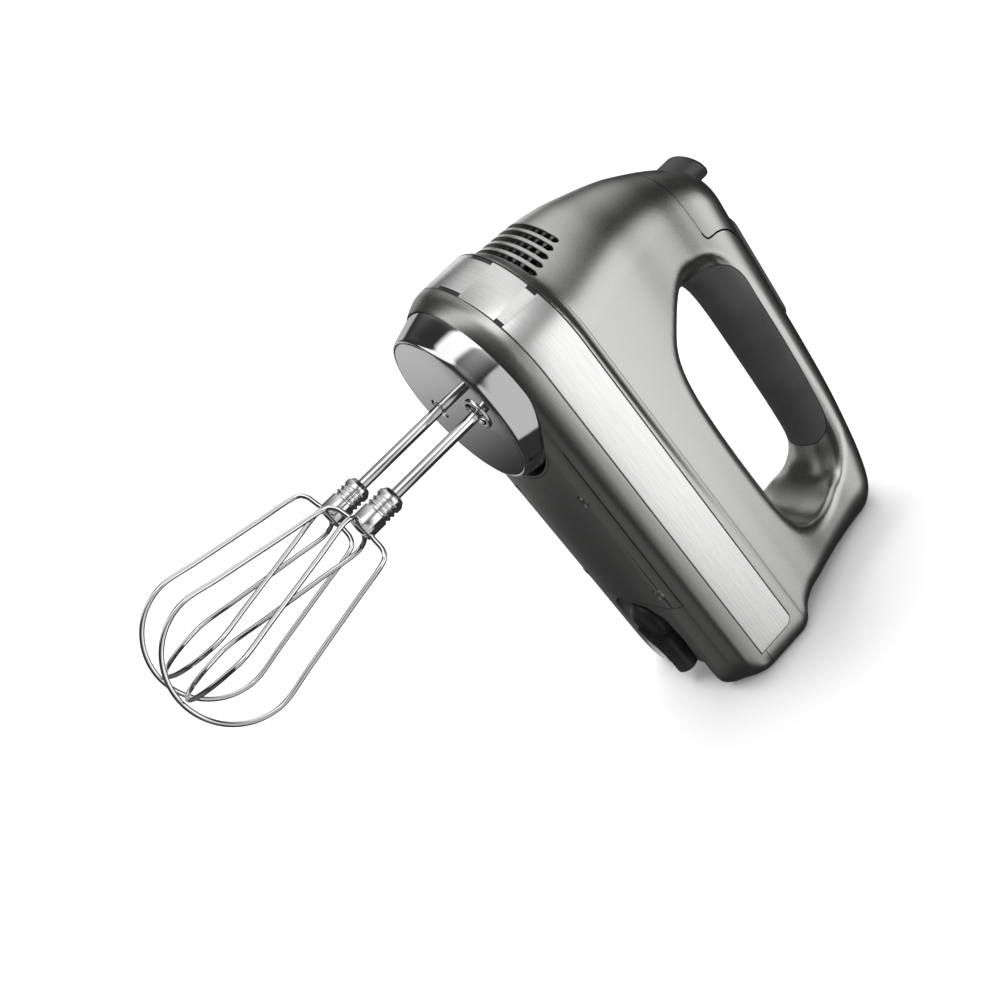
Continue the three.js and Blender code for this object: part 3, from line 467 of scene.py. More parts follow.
def meet(a, b, keep=False):
    return boolean(a, b, "INTERSECT", keep)


def join(a, b, keep=False):
    return boolean(a, b, "UNION", keep)


def copy(o, name):
    c = bpy.data.objects.new(name, o.data.copy())
    bpy.context.scene.collection.objects.link(c)
    return c


def drop(*objs):
    for o in objs:
        me = o.data
        bpy.data.objects.remove(o)
        bpy.data.meshes.remove(me)


def largest(o):
    """keeps the largest connected body"""
    bm = bmesh.new()
    bm.from_mesh(o.data)
    left = set(bm.verts)
    groups = []
    while left:
        seed = left.pop()
        grp, stack = {seed}, [seed]
        while stack:
            for e in stack.pop().link_edges:
                for w in e.verts:
                    if w in left:
                        left.discard(w)
                        grp.add(w)
                        stack.append(w)
        groups.append(grp)
    if len(groups) > 1:
        groups.sort(key=len, reverse=True)
        bmesh.ops.delete(bm, geom=[v for g in groups[1:] for v in g], context="VERTS")
        bm.to_mesh(o.data)
    bm.free()
    return o


TO_ROW = Matrix(((0, 0, -0.001, HEEL_Z * 0.001), (0, 0.001, 0, 0), (0.001, 0, 0, -HEEL_X * 0.001), (0, 0, 0, 1)))
PIECES = []


def piece(o, name, mat, body_name, nodes=(), angle=32, weld=1e-3):
    """finishes a shape: clean-up, row frame, shading, material, body and the CAD nodes it stands for"""
    bm = bmesh.new()
    bm.from_mesh(o.data)
    if weld:
        bmesh.ops.remove_doubles(bm, verts=bm.verts, dist=weld)
        bmesh.ops.dissolve_degenerate(bm, edges=bm.edges, dist=weld)
    bm.to_mesh(o.data)
    bm.free()
    o.data.transform(TO_ROW)
    o.data.shade_smooth()
    o.data.set_sharp_from_angle(angle=math.radians(angle))
    o.name = o.data.name = name
    o.data.materials.clear()
    o.data.materials.append(mat)
    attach(o, body_name)
    if nodes:
        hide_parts(*nodes)
    PIECES.append(o)
    return o


# ------------------------------------------------------------------ materials
class Mat:
    def __init__(self, name, color, rough, metal=0.0, **sockets):
        self.m = bpy.data.materials.new(name)
        self.m.use_nodes = True
        self.t = self.m.node_tree
        self.b = self.t.nodes["Principled BSDF"]
        self.b.inputs["Base Color"].default_value = (*color, 1)
        self.b.inputs["Roughness"].default_value = rough
        self.b.inputs["Metallic"].default_value = metal
        for k, v in sockets.items():
            self.b.inputs[k.replace("_", " ")].default_value = v
        self.color, self.rough = color, rough
        self.co = self.node("ShaderNodeTexCoord").outputs["Object"]
        self.m.diffuse_color = (*color, 1)

    def node(self, kind, **props):
        n = self.t.nodes.new(kind)
        for k, v in props.items():
            setattr(n, k, v)
        return n

    def link(self, a, b):
        self.t.links.new(a, b)

    def mapping(self, scale=(1, 1, 1), rot=(0, 0, 0), loc=(0, 0, 0)):
        n = self.node("ShaderNodeMapping")
        n.inputs["Scale"].default_value, n.inputs["Rotation"].default_value = scale, rot
        n.inputs["Location"].default_value = loc
        self.link(self.co, n.inputs["Vector"])
        return n.outputs["Vector"]

    def noise(self, scale, detail=2.0, rough=0.5, vec=None, lo=0.0, hi=1.0, clip=None):
        n = self.node("ShaderNodeTexNoise")
        n.inputs["Scale"].default_value, n.inputs["Detail"].default_value = scale, detail
        n.inputs["Roughness"].default_value = rough
        self.link(vec or self.co, n.inputs["Vector"])
        if (lo, hi) == (0.0, 1.0) and not clip:
            return n.outputs["Fac"]
        return self.ranged(n.outputs["Fac"], clip or (0.25, 0.75), lo, hi)

    def ranged(self, value, span, lo, hi):
        r = self.node("ShaderNodeMapRange")
        r.inputs["From Min"].default_value, r.inputs["From Max"].default_value = span
        r.inputs["To Min"].default_value, r.inputs["To Max"].default_value = lo, hi
        self.link(value, r.inputs["Value"])
        return r.outputs["Result"]

    def math(self, op, a, b=None, c=None):
        n = self.node("ShaderNodeMath", operation=op)
        for s, v in zip(n.inputs, (a, b, c)):
            if v is None:
                continue
            if isinstance(v, (int, float)):
                s.default_value = v
            else:
                self.link(v, s)
        return n.outputs[0]

    def tint(self, fac, dark, light):
        """base colour between dark and light by fac"""
        n = self.node("ShaderNodeMix", data_type="RGBA")
        self.link(fac, n.inputs["Factor"])
        n.inputs["A"].default_value, n.inputs["B"].default_value = (*dark, 1), (*light, 1)
        self.link(n.outputs["Result"], self.b.inputs["Base Color"])
        return n.outputs["Result"]

    def roughness(self, fac):
        self.link(fac, self.b.inputs["Roughness"])

    def bump(self, height, strength, dist):
        n = self.node("ShaderNodeBump")
        n.inputs["Strength"].default_value, n.inputs["Distance"].default_value = strength, dist
        self.link(height, n.inputs["Height"])
        self.link(n.outputs["Normal"], self.b.inputs["Normal"])


def scaled(c, k):
    return tuple(min(1.0, v * k) for v in c)


def make_materials():
    M = {}
    # metallic paint: fine flake, slow drift of tone, a trace of orange peel
    m = Mat("silver_paint", (0.60, 0.597, 0.585), 0.30, 1.0)
    flake = m.noise(4200, 2, 0.7)
    drift = m.noise(14, 3, 0.5)
    fac = m.math("ADD", m.math("MULTIPLY", flake, 0.8), m.math("MULTIPLY", drift, 0.2))
    m.tint(m.ranged(fac, (0.3, 0.7), 0, 1), (0.54, 0.537, 0.525), (0.67, 0.667, 0.655))
    m.roughness(m.math("ADD", m.ranged(flake, (0.3, 0.7), 0.25, 0.35), m.ranged(drift, (0.3, 0.7), -0.02, 0.02)))
    m.bump(m.math("ADD", flake, m.math("MULTIPLY", m.noise(900, 1), 0.6)), 0.10, 0.00005)
    M["silver"] = m.m
    # brushed steel: streaks along the band's length
    m = Mat("brushed_steel", (0.78, 0.78, 0.77), 0.27, 1.0)
    v = m.mapping((9000, 30, 30))
    v2 = m.mapping((2600, 90, 90))
    s1, s2 = m.noise(1.0, 3, 0.6, v), m.noise(1.0, 2, 0.5, v2)
    streak = m.math("ADD", m.math("MULTIPLY", s1, 0.65), m.math("MULTIPLY", s2, 0.35))
    m.tint(m.ranged(streak, (0.3, 0.7), 0, 1), (0.80, 0.80, 0.795), (0.95, 0.95, 0.94))
    m.roughness(m.ranged(streak, (0.3, 0.7), 0.32, 0.22))
    m.bump(streak, 0.16, 0.00003)
    M["brushed"] = m.m
    # chrome with faint wipe marks
    m = Mat("chrome", (0.93, 0.93, 0.93), 0.04, 1.0)
    wipe = m.noise(26, 4, 0.6)
    fine = m.noise(1.0, 3, 0.6, m.mapping((900, 900, 90), (0.3, 0.5, 0.2)))
    m.tint(wipe, (0.90, 0.90, 0.90), (0.96, 0.96, 0.96))
    m.roughness(m.math("ADD", m.ranged(wipe, (0.35, 0.75), 0.02, 0.06), m.ranged(fine, (0.4, 0.8), 0.0, 0.03)))
    M["chrome"] = m.m
    # soft grip: fine grain, slightly paler where it is touched
    m = Mat("grip_rubber", (0.06, 0.06, 0.06), 0.62, 0.0, Specular_IOR_Level=0.35)
    grain, wear = m.noise(2600, 3, 0.65), m.noise(30, 3, 0.5)
    m.tint(m.ranged(m.math("ADD", m.math("MULTIPLY", grain, 0.5), m.math("MULTIPLY", wear, 0.5)), (0.35, 0.65), 0, 1),
           (0.040, 0.040, 0.041), (0.078, 0.077, 0.076))
    m.roughness(m.ranged(grain, (0.3, 0.7), 0.55, 0.72))
    m.bump(grain, 0.35, 0.00008)
    M["grip"] = m.m
    m = Mat("dark_plastic", (0.05, 0.05, 0.052), 0.36, 0.0)
    grain, wear = m.noise(3600, 2, 0.6), m.noise(60, 3, 0.5)
    m.tint(m.ranged(m.math("ADD", m.math("MULTIPLY", grain, 0.4), m.math("MULTIPLY", wear, 0.6)), (0.35, 0.65), 0, 1),
           (0.024, 0.024, 0.025), (0.042, 0.042, 0.044))
    m.roughness(m.ranged(wear, (0.3, 0.7), 0.30, 0.42))
    m.bump(grain, 0.2, 0.00005)
    M["dark"] = m.m
    m = Mat("black_plastic", (0.012, 0.012, 0.012), 0.4, 0.0)
    grain, wear = m.noise(3000, 3, 0.6), m.noise(45, 3, 0.5)
    m.tint(m.ranged(wear, (0.35, 0.65), 0, 1), (0.008, 0.008, 0.008), (0.020, 0.020, 0.021))
    m.roughness(m.ranged(wear, (0.3, 0.7), 0.33, 0.5))
    m.bump(grain, 0.25, 0.00005)
    M["black"] = m.m
    m = Mat("window_gloss", (0.012, 0.012, 0.014), 0.08, 0.0, Coat_Weight=0.6, Coat_Roughness=0.03)
    wipe = m.noise(70, 4, 0.6)
    m.tint(wipe, (0.008, 0.008, 0.010), (0.020, 0.020, 0.024))
    m.roughness(m.ranged(wipe, (0.4, 0.75), 0.05, 0.14))
    M["window"] = m.m
    m = Mat("membrane_rubber", (0.12, 0.12, 0.12), 0.6)
    g = m.noise(1800, 2)
    m.tint(g, (0.09, 0.09, 0.09), (0.15, 0.15, 0.15))
    m.bump(g, 0.2, 0.00005)
    M["membrane"] = m.m
    m = Mat("circuit_board", (0.03, 0.16, 0.07), 0.42)
    g = m.noise(900, 3)
    m.tint(g, (0.02, 0.12, 0.05), (0.05, 0.22, 0.10))
    m.roughness(m.ranged(g, (0.3, 0.7), 0.34, 0.5))
    M["board"] = m.m
    for key, name, dark, light, r0, r1, sc in (
            ("alloy", "cast_alloy", (0.46, 0.47, 0.48), (0.66, 0.67, 0.68), 0.36, 0.52, 1500),
            ("iron", "lamination_iron", (0.22, 0.225, 0.24), (0.36, 0.365, 0.38), 0.4, 0.55, 1200),
            ("bronze", "sintered_bronze", (0.42, 0.29, 0.13), (0.62, 0.44, 0.22), 0.34, 0.5, 2400),
            ("screw", "zinc_plate", (0.52, 0.53, 0.55), (0.72, 0.73, 0.75), 0.22, 0.36, 1600),
            ("shaft", "ground_steel", (0.60, 0.61, 0.63), (0.78, 0.79, 0.80), 0.14, 0.24, 2200),
            ("spring", "drawn_wire", (0.38, 0.38, 0.40), (0.58, 0.58, 0.60), 0.2, 0.32, 2000)):
        m = Mat(name, light, r0, 1.0)
        g = m.noise(sc, 3, 0.6)
        if key == "iron":
            w = m.node("ShaderNodeTexWave", wave_type="BANDS", bands_direction="Z")
            w.inputs["Scale"].default_value = 320
            m.link(m.co, w.inputs["Vector"])
            g = m.math("ADD", m.math("MULTIPLY", g, 0.5), m.math("MULTIPLY", w.outputs["Fac"], 0.5))
        m.tint(m.ranged(g, (0.3, 0.7), 0, 1), dark, light)
        m.roughness(m.ranged(g, (0.3, 0.7), r0, r1))
        m.bump(g, 0.15, 0.00005)
        M[key] = m.m
    m = Mat("copper_winding", (0.55, 0.25, 0.10), 0.32, 0.9)
    w = m.node("ShaderNodeTexWave", wave_type="BANDS", bands_direction="DIAGONAL")
    w.inputs["Scale"].default_value, w.inputs["Distortion"].default_value = 420, 1.5
    m.link(m.co, w.inputs["Vector"])
    m.tint(w.outputs["Fac"], (0.30, 0.12, 0.05), (0.66, 0.33, 0.15))
    m.roughness(m.ranged(w.outputs["Fac"], (0, 1), 0.42, 0.26))
    m.bump(w.outputs["Fac"], 0.5, 0.0002)
    M["copper"] = m.m
    m = Mat("pressed_carbon", (0.03, 0.03, 0.033), 0.55)
    g = m.noise(2200, 3)
    m.tint(g, (0.02, 0.02, 0.022), (0.05, 0.05, 0.055))
    m.bump(g, 0.3, 0.00006)
    M["carbon"] = m.m
    m = Mat("natural_nylon", (0.78, 0.74, 0.64), 0.42, 0.0)
    m.b.inputs["Subsurface Weight"].default_value = 0.08
    m.b.inputs["Subsurface Radius"].default_value = (0.002, 0.0016, 0.001)
    g = m.noise(260, 3)
    m.tint(g, (0.72, 0.68, 0.58), (0.84, 0.81, 0.72))
    m.roughness(m.ranged(g, (0.3, 0.7), 0.36, 0.5))
    m.bump(m.noise(2000, 2), 0.1, 0.00005)
    M["nylon"] = m.m
    return M


MATS = make_materials()
for sp in frame["record"]["subparts"]:
    node = NODES[sp["node"]]
    node.data.materials.clear()
    node.data.materials.append(MATS[sp["material_slot"]])

# ------------------------------------------------------------------ body shells
LO, HI = (-172, -48, 0), (50, 48, 154)
STEP = 1.25
outer = raw("outer", *field_mesh(lambda x, y, z: body(x, y, z), LO, HI, STEP))
outward(outer)


def inner_field(x, y, z):
    d = WALL + (GRIP_T + GAP) * np.clip((z - 100) / 4, 0, 1)
    f = smax(side(x, y, z) + d, (z - (crest(x) - 3.2 * (np.abs(y) / 17) ** 2)) * 0.95 + WALL + 0.2, 5.0)
    f = smax(f, (5.5 + FLOOR + 3.0 * (np.abs(y) / 38) ** 2) - z, 3.0)
    f = np.maximum(f, HEEL_X + d - x)
    return smax(f, -(hole(x, y, z) - d), 3.0)


inner = raw("inner", *field_mesh(inner_field, LO, HI, 2.5, 0))
outward(inner)
shell = cut(copy(outer, "shell"), inner)


def perimeter(z, d, x_end, n_side=46, n_nose=64, n_rear=0):
    """points of the body's outline at height z, moved in by d, from the left rear round the nose"""
    xf, wf = float(noseX(z)) - d, float(noseW(z)) - d
    wr, xc = float(rearW(z)) - d, float(noseX(z)) - float(noseW(z))
    b, n = float(cornerB(z)) - d, float(cornerN(z))
    xb = float(rearX(z)) + d + b
    pts = []

    def w_at(x):
        t = np.clip((xc - x) / (xc - xb), 0, 1)
        return wf + (wr - wf) * (t * t * (3 - 2 * t) * 0.5 + t * 0.5)

    for i in range(n_side):
        x = x_end + (xc - x_end) * i / n_side
        y = w_at(x) if x >= xb else wr * (1 - ((xb - x) / b) ** n) ** (1 / n)
        pts.append((x, y))
    for i in range(n_nose + 1):
        a = math.pi / 2 - math.pi * i / n_nose
        pts.append((xc + (xf - xc) * math.cos(a), wf * math.sin(a)))
    return pts + [(x, -y) for x, y in reversed(pts[:n_side])]


def belt(name, section, x_end):
    """solid swept round the body: section is a loop of (inset, height)"""
    rows = [perimeter(z, d, x_end) for d, z in section]
    return sweep(name, [[(rows[k][i][0], rows[k][i][1], section[k][1]) for k in range(len(section))]
                        for i in range(len(rows[0]))])


z0, z1 = BAND["z0"] - GAP, BAND["z1"] + GAP
slab = belt("slab", [(-2, z0), (-2, z1), (BAND["t"] + GAP, z1), (BAND["t"] + GAP, z0)], BAND["x0"] - 3)


def band_end(g):
    """everything ahead of the band's rear edge, whose upper corner is round"""
    x, z, r = BAND["x0"] - g, BAND["z1"] + g, 4.0 + g
    arc = [(x + r - r * math.sin(a), z - r + r * math.cos(a)) for a in np.linspace(0, math.pi / 2, 13)]
    return prism_xz("end", [(60, 10), (60, 60), (x + r, 60)] + arc + [(x, 10)], -60, 60)


def nose_sector(name, a0, a1, r0, r1, za, zb):
    """part of a ring round the nose, between two angles in degrees"""
    angles = np.radians(np.linspace(a0, a1, max(3, int(abs(a1 - a0) / 1.5))))
    return prism_xy(name, [(r0 * math.cos(a), r0 * math.sin(a)) for a in angles]
                    + [(r1 * math.cos(a), r1 * math.sin(a)) for a in angles[::-1]], za, zb)


cut(shell, meet(slab, band_end(GAP)))
z0, z1 = BAND["z0"], BAND["z1"]
band = belt("band", fillet([(0.02, z0), (0.02, z1), (BAND["t"], z1), (BAND["t"], z0)], [0.6, 0.6, 0, 0], 4), BAND["x0"] - 3)
meet(band, band_end(0))
# notches at the edges of the nose plate, each with a black insert: a dark clip in some, painted shade of the notch step
# in the others
NOTCHES = [(10.0, 27.3, 1), (9.3, 27.5, 0), (51.4, 57.8, 1), (52.3, 57.6, 0)]
for n, (a0, a1, top) in enumerate(NOTCHES):
    for sign in (1, -1):
        za, zb = (z1 - 1.9, z1 + 0.6) if top else (z0 - 0.6, z0 + 1.8)
        cut(band, nose_sector("n", sign * a0, sign * a1, 40, 50, za, zb))
        za, zb = (z1 - 1.75, z1 + 0.1) if top else (z0 - 0.1, z0 + 1.65)
        # black insert in the notch: a real dark clip at some notches, painted shade of the step at the others
        clip = nose_sector("c", sign * (a0 + 0.2), sign * (a1 - 0.2), 43.75, 44.6, za, zb)
        piece(clip, f"band_clip_and_shade_{2 * n + (sign < 0) + 1}", MATS["black"], "housing", (), 30)
piece(band, "fine_trim_band", MATS["brushed"], "housing", ["trim_band"], 40)

# handle top cover
edge = [tuple(p) for p in catmull(COVER_EDGE, 8)]
cover = meet(copy(shell, "cover"), prism_xz("p", [(x, z + 0.15) for x, z in edge] + [(-176, 200), (61, 200)], -60, 60))
knob_hole = prism_xy("kh", [(KNOB["x"] + KNOB["rx"] * math.cos(a), KNOB["ry"] * math.sin(a))
                            for a in np.linspace(0, 2 * math.pi, 65)[:-1]], 125.5, 170)
cut(cover, knob_hole, keep=True)
pad_shape = round_rect(-46.5, 0, 54, 19, 6, 8)


def pad_ring(grow, dz):
    return [(x + (grow if x > -46.5 else -grow), y + (grow if y > 0 else -grow), float(crest(x)) + dz)
            for x, y in pad_shape]


pad = loft("pad", [pad_ring(0, -1.2), pad_ring(0, 0.7), pad_ring(-0.15, 0.95), pad_ring(-0.5, 1.1)])
cut(cover, loft("seat", [pad_ring(0.12, -1.4), pad_ring(0.12, 3)]))
for name, (cx, hx, hy) in BUTTONS.items():
    well = prism_xy("k", round_rect(cx, 0, 2 * hx + 0.7, 2 * hy + 0.7, min(hx, hy) * 0.6, 6),
                    float(crest(cx)) + 1.1 - 12, 170)
    cut(cover, well, keep=True)
    cut(pad, well)
well = prism_xy("d", round_rect(-30, 0, 16.6, 16.6, 2.5, 6), float(crest(-30)) + 1.1 - 2.2, 170)
cut(cover, well, keep=True)
cut(pad, well)
piece(pad, "fine_key_pad", MATS["dark"], "housing", (), 35)


def stroke(name, pts, half):
    """narrow slot through the body along a line in the XZ plane"""
    P = np.array(pts)
    T = np.gradient(P, axis=0)
    N = np.stack([-T[:, 1], T[:, 0]], 1) / np.linalg.norm(T, axis=1)[:, None] * half
    return prism_xz(name, [tuple(q) for q in P + N] + [tuple(q) for q in (P - N)[::-1]], -60, 60)


seam = stroke("seam", [q for q in edge if -27 < q[0] < -11.5], 0.42)
cut(cover, seam, keep=True)
piece(cover, "fine_handle_top_cover", MATS["silver"], "housing", ["handle_top_cover"], 30)

# display and keys
win = loft("w", [[(x, y, float(crest(-30)) - 0.8) for x, y in round_rect(-30, 0, 16, 16, 2.3, 8)],
                 [(x, y, float(crest(x)) + 0.85) for x, y in round_rect(-30, 0, 16, 16, 2.3, 8)],
                 [(x, y, float(crest(x)) + 1.2) for x, y in round_rect(-30, 0, 15.5, 15.5, 2.2, 8)],
                 [(x, y, float(crest(x)) + 1.4) for x, y in round_rect(-30, 0, 14.6, 14.6, 2.0, 8)]])
piece(win, "fine_display_window", MATS["window"], "housing", ["display_window"], 40)
for name, (cx, hx, hy) in BUTTONS.items():
    zt = float(crest(cx)) + 1.1

    def ring(g, zz, dish=0.0):
        return [(x, y, zz + dish * (x - cx)) for x, y in
                round_rect(cx, 0, 2 * (hx - g), 2 * (hy - g), min(hx - g, hy - g) * 0.6, 8)]

    o = loft("b", [ring(0, zt - 4.2), ring(0, zt + 0.6), ring(0.12, zt + 0.95), ring(0.45, zt + 1.25),
                   ring(1.0, zt + 1.45), ring(1.8, zt + 1.5)])
    piece(o, "fine_" + name, MATS["dark"], {"speed_up_button": "speed_up_key", "speed_down_button":
          "speed_down_key", "power_button": "power_key"}[name], [name], 42)

# upper housing and grip
GRIP = [tuple(q) for q in catmull([(-27.2, 108), (-26.2, 114), (-26.4, 119.5), (-31.5, 126.4), (-38.5, 129.4),
                                   (-52.5, 129.4), (-67, 128.9), (-79, 128.4), (-91, 127.6), (-103, 126.6),
                                   (-114.5, 125.2), (-122.2, 122.2), (-126.2, 117), (-126.4, 111), (-124, 104),
                                   (-100, 102), (-50, 102), (-30, 103)], 6, True)]
grip = meet(meet(copy(outer, "grip"), prism_xz("g", GRIP, -40, 40)), box("h", -200, 60, -60, 60, 108, 200))


def skin_field(d):
    def f(x, y, z):
        v = smax(side(x, y, z) + d, (z - (crest(x) - 3.2 * (np.abs(y) / 17) ** 2)) * 0.95 + d, 9.0)
        return smax(v, -(hole(x, y, z) - d), 5.0)
    return f


core_lo, core_hi = (-135, -26, 100), (-15, 26, 150)
core = raw("core", *field_mesh(lambda x, y, z: np.maximum(skin_field(GRIP_T)(x, y, z), np.maximum(
    np.maximum(-133 - x, x + 17), np.maximum(101.5 - z, z - 148.5))), core_lo, core_hi, 1.5, 0))
outward(core)
largest(cut(grip, core))
piece(grip, "fine_handle_grip", MATS["grip"], "housing", ["handle_grip"], 35)

upper = meet(copy(shell, "upper"), prism_xz("p", [(x, z - 0.15) for x, z in edge] + [(-176, -20), (61, -20)], -60, 60))
meet(upper, box("s", -200, 60, -60, 60, SPLIT_Z + 0.15, 200))
core2 = raw("core2", *field_mesh(lambda x, y, z: np.maximum(skin_field(GRIP_T + GAP)(x, y, z), np.maximum(
    np.maximum(-133 - x, x + 17), np.maximum(101.5 - z, z - 148.5))), core_lo, core_hi, 1.5, 0))
outward(core2)
centre = np.array((-76.0, 115.5))
ring_n = np.roll(np.array(GRIP), -1, 0) - np.roll(np.array(GRIP), 1, 0)
ring_n = np.stack([ring_n[:, 1], -ring_n[:, 0]], 1) / np.linalg.norm(ring_n, axis=1)[:, None]
ring_n *= np.sign(((np.array(GRIP) - centre) * ring_n).sum(1))[:, None]
gap = [tuple(q) for q in np.array(GRIP) + ring_n * GAP]
sleeve = meet(prism_xz("sl", gap, -40, 40), box("h", -200, 60, -60, 60, 107.7, 200))
cut(sleeve, core2)
cut(upper, sleeve)
def nose_radius(a, z):
    """distance from the nose's centre line to its surface, at angle a and height z"""
    w = float(noseW(z))
    return 1 / math.hypot(math.cos(a) / w, math.sin(a) / w)


# vent slots with round ends
for row in range(5):
    z, half = 49.6 + row * 4.4, 48 - row * 1.2
    c = float(noseX(z) - noseW(z))
    ro, ri, h, flare = 62.0, 30.0, 1.15, 0.38
    sections = []
    for i in range(41):
        t = -1 + 2 * i / 40
        a = math.radians(half * t)
        e = min((1 - abs(t)) * math.radians(half) * 40 / h, 1.0)
        hh = h * math.sqrt(max(1 - (1 - e) ** 2, 0.02))
        rs = nose_radius(a, z)
        loop = [(ri, hh), (rs - 0.4, hh), (rs + 0.1, hh + flare), (ro, hh + flare)]
        sections.append([(c + r * math.cos(a), r * math.sin(a), z - k) for r, k in loop]
                        + [(c + r * math.cos(a), r * math.sin(a), z + k) for r, k in loop[::-1]])
    cut(upper, sweep("slot", sections))
cut(upper, knob_hole)
cut(upper, seam)
cut(upper, belt("ledge", [(-1.6, 47.7), (-1.6, 49.3), (0.3, 48.5)], -166))
for cx, hx, hy in BUTTONS.values():
    cut(upper, prism_xy("k", round_rect(cx, 0, 2 * hx + 0.7, 2 * hy + 0.7, min(hx, hy) * 0.6, 6),
                        float(crest(cx)) + 1.1 - 7.5, 170))
largest(upper)
# upright ribs close behind the slots
for k in range(10):
    mid = math.radians(-33.75 + 7.5 * k)
    rows = []
    for i in range(7):
        z = 47.6 + 21.8 * i / 6
        c, rs = float(noseX(z) - noseW(z)), nose_radius(mid, z)
        rows.append([(c + r * math.cos(a), r * math.sin(a), z) for r, a in
                     ((rs - 3.4, mid - 0.02), (rs - 3.4, mid + 0.02), (rs - 4.6, mid + 0.02), (rs - 4.6, mid - 0.02))])
    piece(loft("rib", rows), f"vent_rib_{k + 1}", MATS["alloy"], "housing", (), 30)
piece(upper, "fine_upper_housing", MATS["silver"], "housing", ["upper_housing"], 30)

# lower housing with the collar seat, the cover recess and the pocket of the cord swivel
lower = meet(shell, box("s", -200, 60, -60, 60, -10, SPLIT_Z - 0.15))
cut(lower, rod("cs", "z", COLLAR_R + 0.5, -5, 14.1, seg=128))
pocket = [(-118, -12), (-118, 12), (-124, 21), (-152, 24.5), (-175, 24.5), (-175, -24.5), (-152, -24.5), (-124, -21)]
pocket = fillet(pocket, [4, 4, 5, 6, 0, 0, 6, 5], 5)
grown = [(x + (2.4 if x > -130 else -2.4), y + math.copysign(2.4, y)) for x, y in pocket]
join(lower, meet(prism_xy("g", grown, 4, 17.6), outer, keep=True))
cut(lower, prism_xy("p", pocket, -5, 15.0))
cut(lower, rod("z", "z", 4.4, 10, 20, SWIVEL["x"], 0, 32))


def belly(name, g):
    """region of the bottom cover: its sides rise to the fold line"""
    b = box(name, -116 - g, -30, -36, 36, -5, 7.9 + g)
    for y in (-1, 1):
        join(b, box("rim", -116 - g, -30, min(33 * y - g * y, 60 * y), max(33 * y - g * y, 60 * y), -5, 10.45 + g))
    return b


recess = belly("r", 0.3)
cut(recess, rod("c", "z", COLLAR_R + 1.6, -6, 30, seg=128))
cut(lower, recess)
cut(lower, belt("fold", [(-1.2, 10.1), (-1.2, 11.1), (1.15, 10.6)], -150))
largest(lower)
piece(lower, "fine_lower_housing", MATS["silver"], "housing", ["lower_housing"], 30)

bottom = meet(copy(outer, "bottom"), belly("b", 0))
cut(bottom, rod("c", "z", COLLAR_R + 1.9, -6, 30, seg=128))
for x, y in SCREWS:
    cut(bottom, rod("s", "z", 3.15, -5, 5.5 + 3.0 * (y / 38) ** 2 + 1.6, x, y, 32))
largest(bottom)
piece(bottom, "fine_bottom_cover", MATS["silver"], "housing", ["bottom_cover"], 30)
drop(outer)
for i, (x, y) in enumerate(SCREWS):
    zf = 5.5 + 3.0 * (y / 38) ** 2 + 0.35
    head = turned("h", fillet([(0, zf + 2.0), (2.95, zf + 2.0), (2.95, zf), (0, zf - 0.5)], [0, 0.2, 0.5, 0], 4, False)
                  , "z", x, y, 40)
    for k in range(2):
        a = math.radians(45 + 90 * k)
        w, l = 0.45, 1.7
        pts = [(x + math.cos(a) * s * l - math.sin(a) * t * w, y + math.sin(a) * s * l + math.cos(a) * t * w)
               for s, t in ((-1, -1), (1, -1), (1, 1), (-1, 1))]
        cut(head, prism_xy("c", pts, zf - 2, zf + 0.8))
    piece(head, f"fine_cover_screw_{i + 1}", MATS["silver"], "housing", [f"cover_screw_{i + 1}"], 35)

# ------------------------------------------------------------------ nose
prof = [(35.6, 0.25)] + [tuple(p) for p in catmull([(36.2, 0.05), (36.75, 0.2), (37.15, 0.75), (37.9, 3.0), (38.8, 5.8),
                                                   (39.75, 8.9), (40.6, 11.9), (41.0, 13.7)], 5)]
prof += [(39.4, 13.7), (38.0, 8.4), (37.0, 4.8), (36.2, 3.2), (35.6, 2.2)]
piece(turned("c", prof, seg=160), "fine_chrome_collar", MATS["chrome"], "housing", ["chrome_collar"], 28)
plate = turned("p", fillet([(0, 0), (35.5, 0), (35.5, 2.2), (0, 2.2)], [0, 0.15, 0, 0], 4, False), seg=160)
ringp = fillet([(5.4, -0.9), (7.4, -0.9), (7.4, 0.6), (5.4, 0.6)], [0.4, 0.5, 0, 0], 5)
cut(plate, rod("h", "z", 5.4, -3, 5, 0, SHAFT_Y, 64))
cut(plate, rod("h", "z", 5.0, -3, 5, 0, -SHAFT_Y, 64))
join(plate, turned("r", ringp, "z", 0, SHAFT_Y, 64))
piece(plate, "fine_collar_plate", MATS["chrome"], "housing", ["collar_plate"], 28)

for sd, y in (("left", SHAFT_Y), ("right", -SHAFT_Y)):
    face = turned("f", fillet([(2.75, 0.5), (4.6, 0.5), (4.6, 3.6), (2.75, 3.6)], [0.35, 0.3, 0, 0], 4), "z", 0, y, 56)
    piece(face, f"fine_{sd}_socket_face", MATS["chrome"], sd + "_drive", (), 35)

# thumb button that throws the beaters out
def knob_ring(g, z, tip):
    return [(KNOB["x"] + (KNOB["rx"] + g) * math.cos(a), (KNOB["ry"] + g) * math.sin(a),
             z + tip * (KNOB["rx"] + g) * math.cos(a)) for a in np.linspace(0, 2 * math.pi, 73)[:-1]]


rows = [(-0.4, 133, 0), (-0.4, 146.6, -0.5), (-0.46, 147.6, -0.5), (-0.8, 148.5, -0.49), (-1.5, 149.3, -0.48),
        (-2.6, 149.95, -0.47), (-4.2, 150.5, -0.46), (-6.2, 150.8, -0.45)]
knob = loft("k", [knob_ring(*r) for r in rows])
cut(knob, rod("r", "z", 3.3, 130, 138, 5, 0, 32))
piece(knob, "fine_eject_button", MATS["dark"], "ejector", ["eject_button"], 50)

